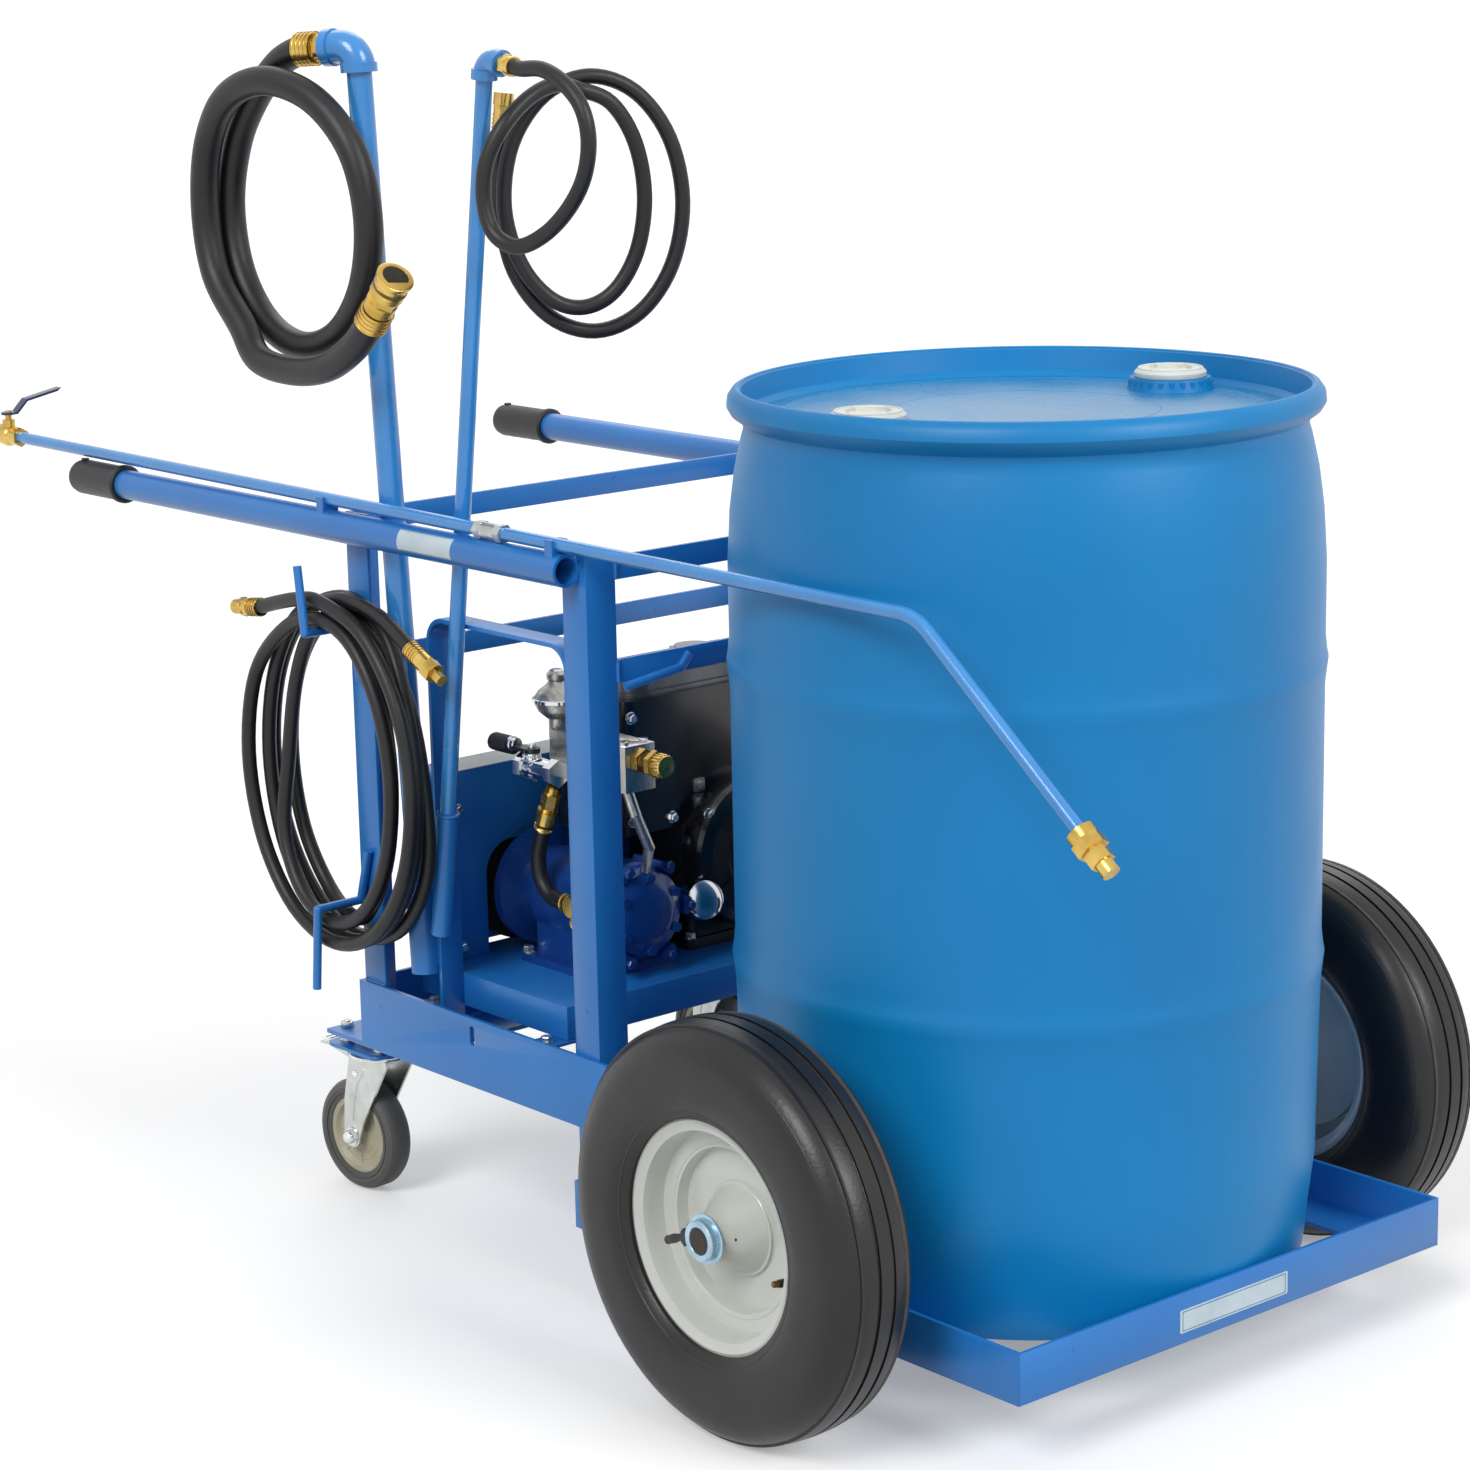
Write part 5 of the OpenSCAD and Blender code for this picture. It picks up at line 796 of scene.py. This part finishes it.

# ---- belt guard ----

# Thin pale cap on the belt guard's top: a painted highlight over the blue top face, standing in for
# light and sky reflected there.
prism("guard_painted_highlight_cap", rounded(50.2, 343, 1.2), (-176.5, -42.5, 497), UP, -0.2, 0.45, "guard_top_painted_highlight",
      CART)
bolts("guard_bolts", [(-150.8, y, z) for y in (-215, 130) for z in (300, 455)], AHEAD, 9, 4.5, 13,
      "zinc", CART)
bm = bmesh.new()
for k in range(7):
    add_prism(bm, rounded(5, 44, 2.4), frame_on((-202.1, 10 + 14 * k, 420), (-1, 0, 0)), -0.3, 1.1)
finish_mesh("guard_louvres", bm, "frame_paint", CART)

# ---- pump, valve and manifold ----

# The pump's shaft, and the middle of the manifold, its riser and the bell.
PUMP_Y, PUMP_Z = -112, 356
MANIFOLD_Y = -148
BELL_X = -54
bolts("manifold_bolts", [(x, y, 554) for x in (-34, 74) for y in (-161, -135)], UP, 8, 4, 0,
      "chrome", CART)
bm = bmesh.new()
for x in (-20, 20, 60):
    add_prism(bm, hexagon(11, 8), frame_on((x, MANIFOLD_Y, 551), UP), 0, 3.4)
finish_mesh("manifold_plugs", bm, "brass", CART)
bm = bmesh.new()
place = frame_on((84, -150, 538), AHEAD)
add_lathe(bm, [(0, 31), (11.2, 31), (11.8, 32.5), (11.8, 43), (11.0, 45.4), (8, 46.2), (0, 46.2)],
          place, 40)
for k in range(20):
    a = radians(18 * k)
    add_lathe(bm, [(0, 32.5), (1.0, 32.5), (1.0, 43.5), (0, 43.5)],
              place @ Matrix.Translation((11.7 * cos(a), 11.7 * sin(a), 0)), 8)
finish_mesh("relief_knob", bm, "brass", CART)
bm = bmesh.new()
for k in range(5):
    add_lathe(bm, [(9.8, 13 + 2.1 * k), (10.7, 13.6 + 2.1 * k), (10.7, 14.2 + 2.1 * k),
                   (9.8, 14.8 + 2.1 * k), (9.8, 13 + 2.1 * k)], place, 40)
finish_mesh("relief_threads", bm, "brass_dark", CART)
VALVE_Y = -181.3
bm = bmesh.new()
valve = frame_on((-76, VALVE_Y, 512), AHEAD)
for k in range(10):
    a = radians(36 * k)
    add_lathe(bm, [(0, 20), (2.3, 20.6), (3.0, 22.5), (2.3, 24.4), (0, 25)],
              valve @ Matrix.Translation((11.6 * cos(a), 11.6 * sin(a), 4)), 12)
    add_lathe(bm, [(0, 0), (1.7, 0.6), (2.2, 2.2), (1.7, 3.8), (0, 4.4)],
              frame_on((-58 + 8.6 * cos(a), VALVE_Y + 8.6 * sin(a), 523.0), UP), 12)
finish_mesh("valve_knobs", bm, "chrome", CART)
lathe("valve_neck", [(0, 0), (8.2, 0), (8.2, 3.4), (7.2, 4.2), (7.2, 9), (6.2, 9.8), (0, 9.8)],
      (-93, VALVE_Y, 532.6), AHEAD, "chrome", "outlet_lever", 32)
lathe("lever_screw", [(0, 0), (4.2, 0), (4.2, 1.6), (3.2, 2.4), (0, 2.4)], (-58, VALVE_Y, 535.2),
      UP, "chrome", "outlet_lever", 24)
bm = bmesh.new()
for k in range(8):
    add_lathe(bm, [(9.3, 0), (9.95, 0.6), (9.95, 1.6), (9.3, 2.2), (9.3, 0)],
              frame_on((-124 + 1.5 + 3.6 * k, VALVE_Y, 530.6), AHEAD), 32)
finish_mesh("lever_ribs", bm, "black_plastic", "outlet_lever")
bolts("pump_cover_bolts", [(48.4, PUMP_Y + 57 * cos(radians(a)), PUMP_Z + 57 * sin(radians(a)))
                           for a in range(0, 360, 60)], AHEAD, 9, 5, 0, "pump_paint", CART)
bm = bmesh.new()
for k in range(6):
    a = radians(60 * k)
    add_prism(bm, rounded(9, 20, 3),
              frame_on((34, PUMP_Y + 54 * cos(a), PUMP_Z + 54 * sin(a)), AHEAD,
                       60 * k), -34, 14)
finish_mesh("pump_lugs", bm, "pump_paint", CART)
bm = bmesh.new()
hex_bolt(bm, frame_on((-60, PUMP_Y, 407), UP), 24, 9, 30)
finish_mesh("pump_filler", bm, "black_plastic", CART)
lathe("pump_sight", [(0, 0), (11, 0), (11, 3), (9, 4), (8, 2.6), (0, 2.6)], (-10, -164.0, 346),
      (0, -1, 0), "brass", CART, 36)
lathe("bell_band", [(26.1, 17.4), (27.4, 18.2), (27.4, 21.8), (26.1, 22.6), (26.1, 17.4)],
      (BELL_X, MANIFOLD_Y, 562), UP, "chrome", CART)
bm = bmesh.new()
hex_bolt(bm, frame_on((BELL_X, MANIFOLD_Y, 608), UP), 13, 7, 0)
finish_mesh("bell_nut", bm, "chrome", CART)
for k, (p, d) in enumerate((((6, -178, 370), (-1, 0, 0)), ((-43.6, -178, 452.6), (0.42, 0, 0.9)))):
    lathe(f"supply_clamp_{k}",
          [(8.4, 1), (10.4, 1.4), (10.4, 3.2), (9.6, 4.0), (10.4, 4.8), (10.4, 6.6),
           (8.4, 7), (8.4, 1)],
          Vector(p) + Vector(d) * (12.5 if k == 0 else -9), d,
          "brass", CART, 32)

# ---- engine ----

# The engine's shaft, which the recoil starter turns about.
ENGINE_Y, ENGINE_Z = 60, 392
bm = bmesh.new()
for k in range(16):
    a = radians(22.5 * k + 8)
    add_prism(bm, rounded(5, 20, 2.3),
              frame_on((30.6, ENGINE_Y + 58 * cos(a), ENGINE_Z + 58 * sin(a)), AHEAD,
                       22.5 * k + 98), 0, 4.6)
finish_mesh("recoil_ribs", bm, "shroud", CART)
lathe("recoil_boss", [(0, 0), (15, 0), (14, 4), (10, 6), (0, 6.6)], (33.4, ENGINE_Y, ENGINE_Z),
      AHEAD, "engine_cast", CART)
bolts("recoil_bolts", [(22, ENGINE_Y + 82 * cos(radians(a)), ENGINE_Z + 82 * sin(radians(a)))
                       for a in (38, 142, 270)],
      AHEAD, 9, 5, 14, "chrome", CART)
bolts("shroud_bolts",
      [(0, -37.6, 441.5), (0, -92, 560), (0, 150, 560), (0, -92, 446), (0, 150, 446)],
      AHEAD, 9, 5, 14, "chrome", CART)
bm = bmesh.new()
for dz in (-9, 9):
    add_prism(bm, rounded(15, 15, 1.5), frame_on((0, 1, 462 + dz), AHEAD), -0.5, 2.0)
    add_prism(bm, rounded(7, 7, 1.0), frame_on((2.0, 1, 462 + dz), AHEAD), -0.2, 3.0)
finish_mesh("stop_switch", bm, "steel", CART)
lathe("oil_filter", [(0, 0), (23, 0), (23, 18), (21, 24), (15, 28), (8, 29.4), (0, 29.8)],
      (20, -22, 350), (0.94, -0.26, 0.2), "chrome", CART, 48)
prism("starter_grip", rounded(13, 34, 6), (36, 118, 430), AHEAD, 0, 12, "black_plastic", CART,
      bevel=2.0)
bm = bmesh.new()
for k in range(9):
    add_prism(bm, rounded(5, 96, 2.4), frame_on((-111 + 12.2 * k, -108, 504), (0, -1, 0)), -0.5,
              1.6)
finish_mesh("shroud_louvres", bm, "shroud", CART)
bm = bmesh.new()
for k in range(6):
    add_prism(bm, rounded(60, 3, 1.4), frame_on((-70, 236, 412 + 12 * k), (0, 1, 0)), -0.5, 2.2)
finish_mesh("muffler_guard", bm, "muffler_black", CART)
bolts("muffler_bolts", [(x, 236, z) for x in (-108, -32) for z in (406, 482)], (0, 1, 0), 8, 4, 12,
      "oil_dark", CART)
lathe("tank_neck_ring",
      [(17.2, 18.4), (22, 18.6), (23, 20.4), (21, 22.4), (17.2, 22.6), (17.2, 18.4)],
      (-42, 34, 578), UP, "chrome", CART)
lathe("fuel_valve", [(0, 0), (7, 0), (7, 8), (5, 10), (5, 18), (0, 19)], (-22, 66, 598), UP,
      "brass", CART, 28)
tube("spark_lead", smooth([(-40, 134, 560), (-40, 182, 566), (-52, 188, 530), (-60, 182, 486),
                           (-64, 150, 440)], 5), 6.5, "black_plastic", CART, 5)

# ---- drum ----

# The drum's foot, and the distance of the bungs from its axis.
DRUM = Vector((504, 0, 81.1))
BUNG_Y = 205
lathe("lid_skin", [(0, 848.4), (120, 846.9), (261.4, 845.3), (262.2, 845.9), (255, 846.6),
                   (120, 848.1), (0, 849.0)], DRUM, UP, "lid_plastic", "drum", 96)
bm = bmesh.new()
drum_place = frame_on(DRUM, UP)
ring(bm, drum_place, 236, 846.2, 2.4, 1.4)
ring(bm, drum_place, 130, 847.2, 1.8, 1.0)
ring(bm, drum_place, 277.5, 874.2, 2.0, 0.6)
finish_mesh("lid_rings", bm, "drum_plastic", "drum")
for side, s in (("right", -1), ("left", 1)):
    place = frame_on((504, s * BUNG_Y, 81.1), UP)
    bm = bmesh.new()
    for k in range(24):
        a = radians(15 * k)
        add_prism(bm, rounded(3.0, 5, 1.0), place @ Matrix.Rotation(a, 4, "Z")
                  @ Matrix.Translation((40.5, 0, 0)), 850, 857)
    finish_mesh(side + "_bung_lugs", bm, "drum_plastic", "drum")
    bm = bmesh.new()
    ring(bm, frame_on((504, s * BUNG_Y, 940.4 - 9), UP), 31.5, 18.1, 1.0, 0.4)
    finish_mesh(side + "_bung_ring", bm, "bung_plastic", side + "_bung")

# ---- hose ends ----

def ferrule(name, at_point, along, r, length, look, body, rings=4):
    """Crimped ferrule: a shell with its pressed grooves."""
    profile = [(r * 0.82, 0), (r, 0.6)]
    for k in range(rings):
        h = length * (k + 0.5) / rings
        profile += [(r, h - length * 0.16), (r - 0.8, h - length * 0.10),
                    (r - 0.8, h + length * 0.10), (r, h + length * 0.16)]
    profile += [(r, length - 0.6), (r * 0.82, length), (r * 0.82, 0)]
    return lathe(name, profile, at_point, along, look, body, 48)


for name, route, r, line in (("suction", suction_route, 18.0, "suction_line"),
                             ("return", return_route, 10.4, "return_line"),
                             ("spray", spray_route, 10.4, CART)):
    for k, (p,
            d) in enumerate(((route[0], route[1] - route[0]), (route[-1], route[-2] - route[-1]))):
        if name != "return" or k == 1:
            ferrule(f"{name}_ferrule_{k}", p, d, r, 20 if name == "suction" else 17, "brass", line)
# Coupling's open end: flared lip, and a thin dark disc across its mouth as painted shade for the
# bore.
COUPLING_REACH = 50.3
way_out = (suction_route[-1] - suction_route[-2]).normalized()
tip = suction_route[-1] + way_out * COUPLING_REACH
lathe("coupling_lip", [(12.5, -7), (18.6, -7), (19.6, -4), (19.8, -0.6), (18.6, 0), (14.6, 0),
                       (12.5, -2.5), (12.5, -7)], tip, way_out, "brass", "suction_line")
lathe("coupling_painted_shade_disc", [(0, -0.2), (14.0, -0.2), (14.0, 0.12), (0, 0.12)], tip, way_out, "oil_dark",
      "suction_line")
lathe("coupling_groove", [(17.9, -17), (18.5, -16.4), (18.5, -13.6), (17.9, -13), (17.9, -17)], tip,
      way_out, "brass_dark", "suction_line")


# ---- floor and light ----

def camera_share(tree):
    """1 for camera, glossy and transmission rays, and 0 for the light on the object."""
    path = tree.nodes.new("ShaderNodeLightPath")
    total = None
    for ray in ("Is Camera Ray", "Is Glossy Ray", "Is Transmission Ray"):
        if total is None:
            total = path.outputs[ray]
            continue
        larger = tree.nodes.new("ShaderNodeMath")
        larger.operation = "MAXIMUM"
        tree.links.new(total, larger.inputs[0])
        tree.links.new(path.outputs[ray], larger.inputs[1])
        total = larger.outputs[0]
    return total


def floor_material():
    m = bpy.data.materials.new("floor")
    m.use_nodes = True
    tree = m.node_tree
    shader = tree.nodes["Principled BSDF"]
    shader.inputs["Roughness"].default_value = 0.9
    shader.inputs["Specular IOR Level"].default_value = 0.1
    shader.inputs["Emission Color"].default_value = (1, 1, 1, 1)
    seen = camera_share(tree)
    mix = tree.nodes.new("ShaderNodeMix")
    mix.data_type = "RGBA"
    mix.inputs["A"].default_value = (0.42, 0.42, 0.42, 1)
    mix.inputs["B"].default_value = (0.80, 0.80, 0.80, 1)
    tree.links.new(seen, mix.inputs["Factor"])
    tree.links.new(mix.outputs["Result"], shader.inputs["Base Color"])
    glow = tree.nodes.new("ShaderNodeMath")
    glow.operation = "MULTIPLY"
    glow.inputs[1].default_value = 0.30
    tree.links.new(seen, glow.inputs[0])
    tree.links.new(glow.outputs[0], shader.inputs["Emission Strength"])
    return m


floor_mesh = bpy.data.meshes.new("floor")
floor_mesh.from_pydata([(-30, -30, 0), (30, -30, 0), (30, 30, 0), (-30, 30, 0)], [], [(0, 1, 2, 3)])
floor = bpy.data.objects.new("floor", floor_mesh)
scene.collection.objects.link(floor)
floor.location.z = -0.0005
floor_mesh.materials.append(floor_material())


def sun(name, direction, strength, spread):
    data = bpy.data.lights.new(name, "SUN")
    data.energy = strength
    data.angle = radians(spread)
    obj = bpy.data.objects.new(name, data)
    scene.collection.objects.link(obj)
    obj.rotation_euler = Vector(direction).to_track_quat("Z", "Y").to_euler()


sun("right", (0.30, -1.0, 0.90), 1.45, 26)
sun("front", (1.00, 0.15, 0.65), 1.40, 26)
sun("back", (-0.8, 0.7, 0.9), 0.40, 40)
world = bpy.data.worlds.new("studio")
scene.world = world
world.use_nodes = True
ambient = world.node_tree.nodes["Background"]
ambient.inputs["Color"].default_value = (1, 1, 1, 1)
strength = world.node_tree.nodes.new("ShaderNodeMapRange")
strength.inputs["To Min"].default_value = 0.42
strength.inputs["To Max"].default_value = 1.0
world.node_tree.links.new(camera_share(world.node_tree), strength.inputs["Value"])
world.node_tree.links.new(strength.outputs["Result"], ambient.inputs["Strength"])
scene.view_settings.view_transform = "Standard"
scene.view_settings.look = "None"
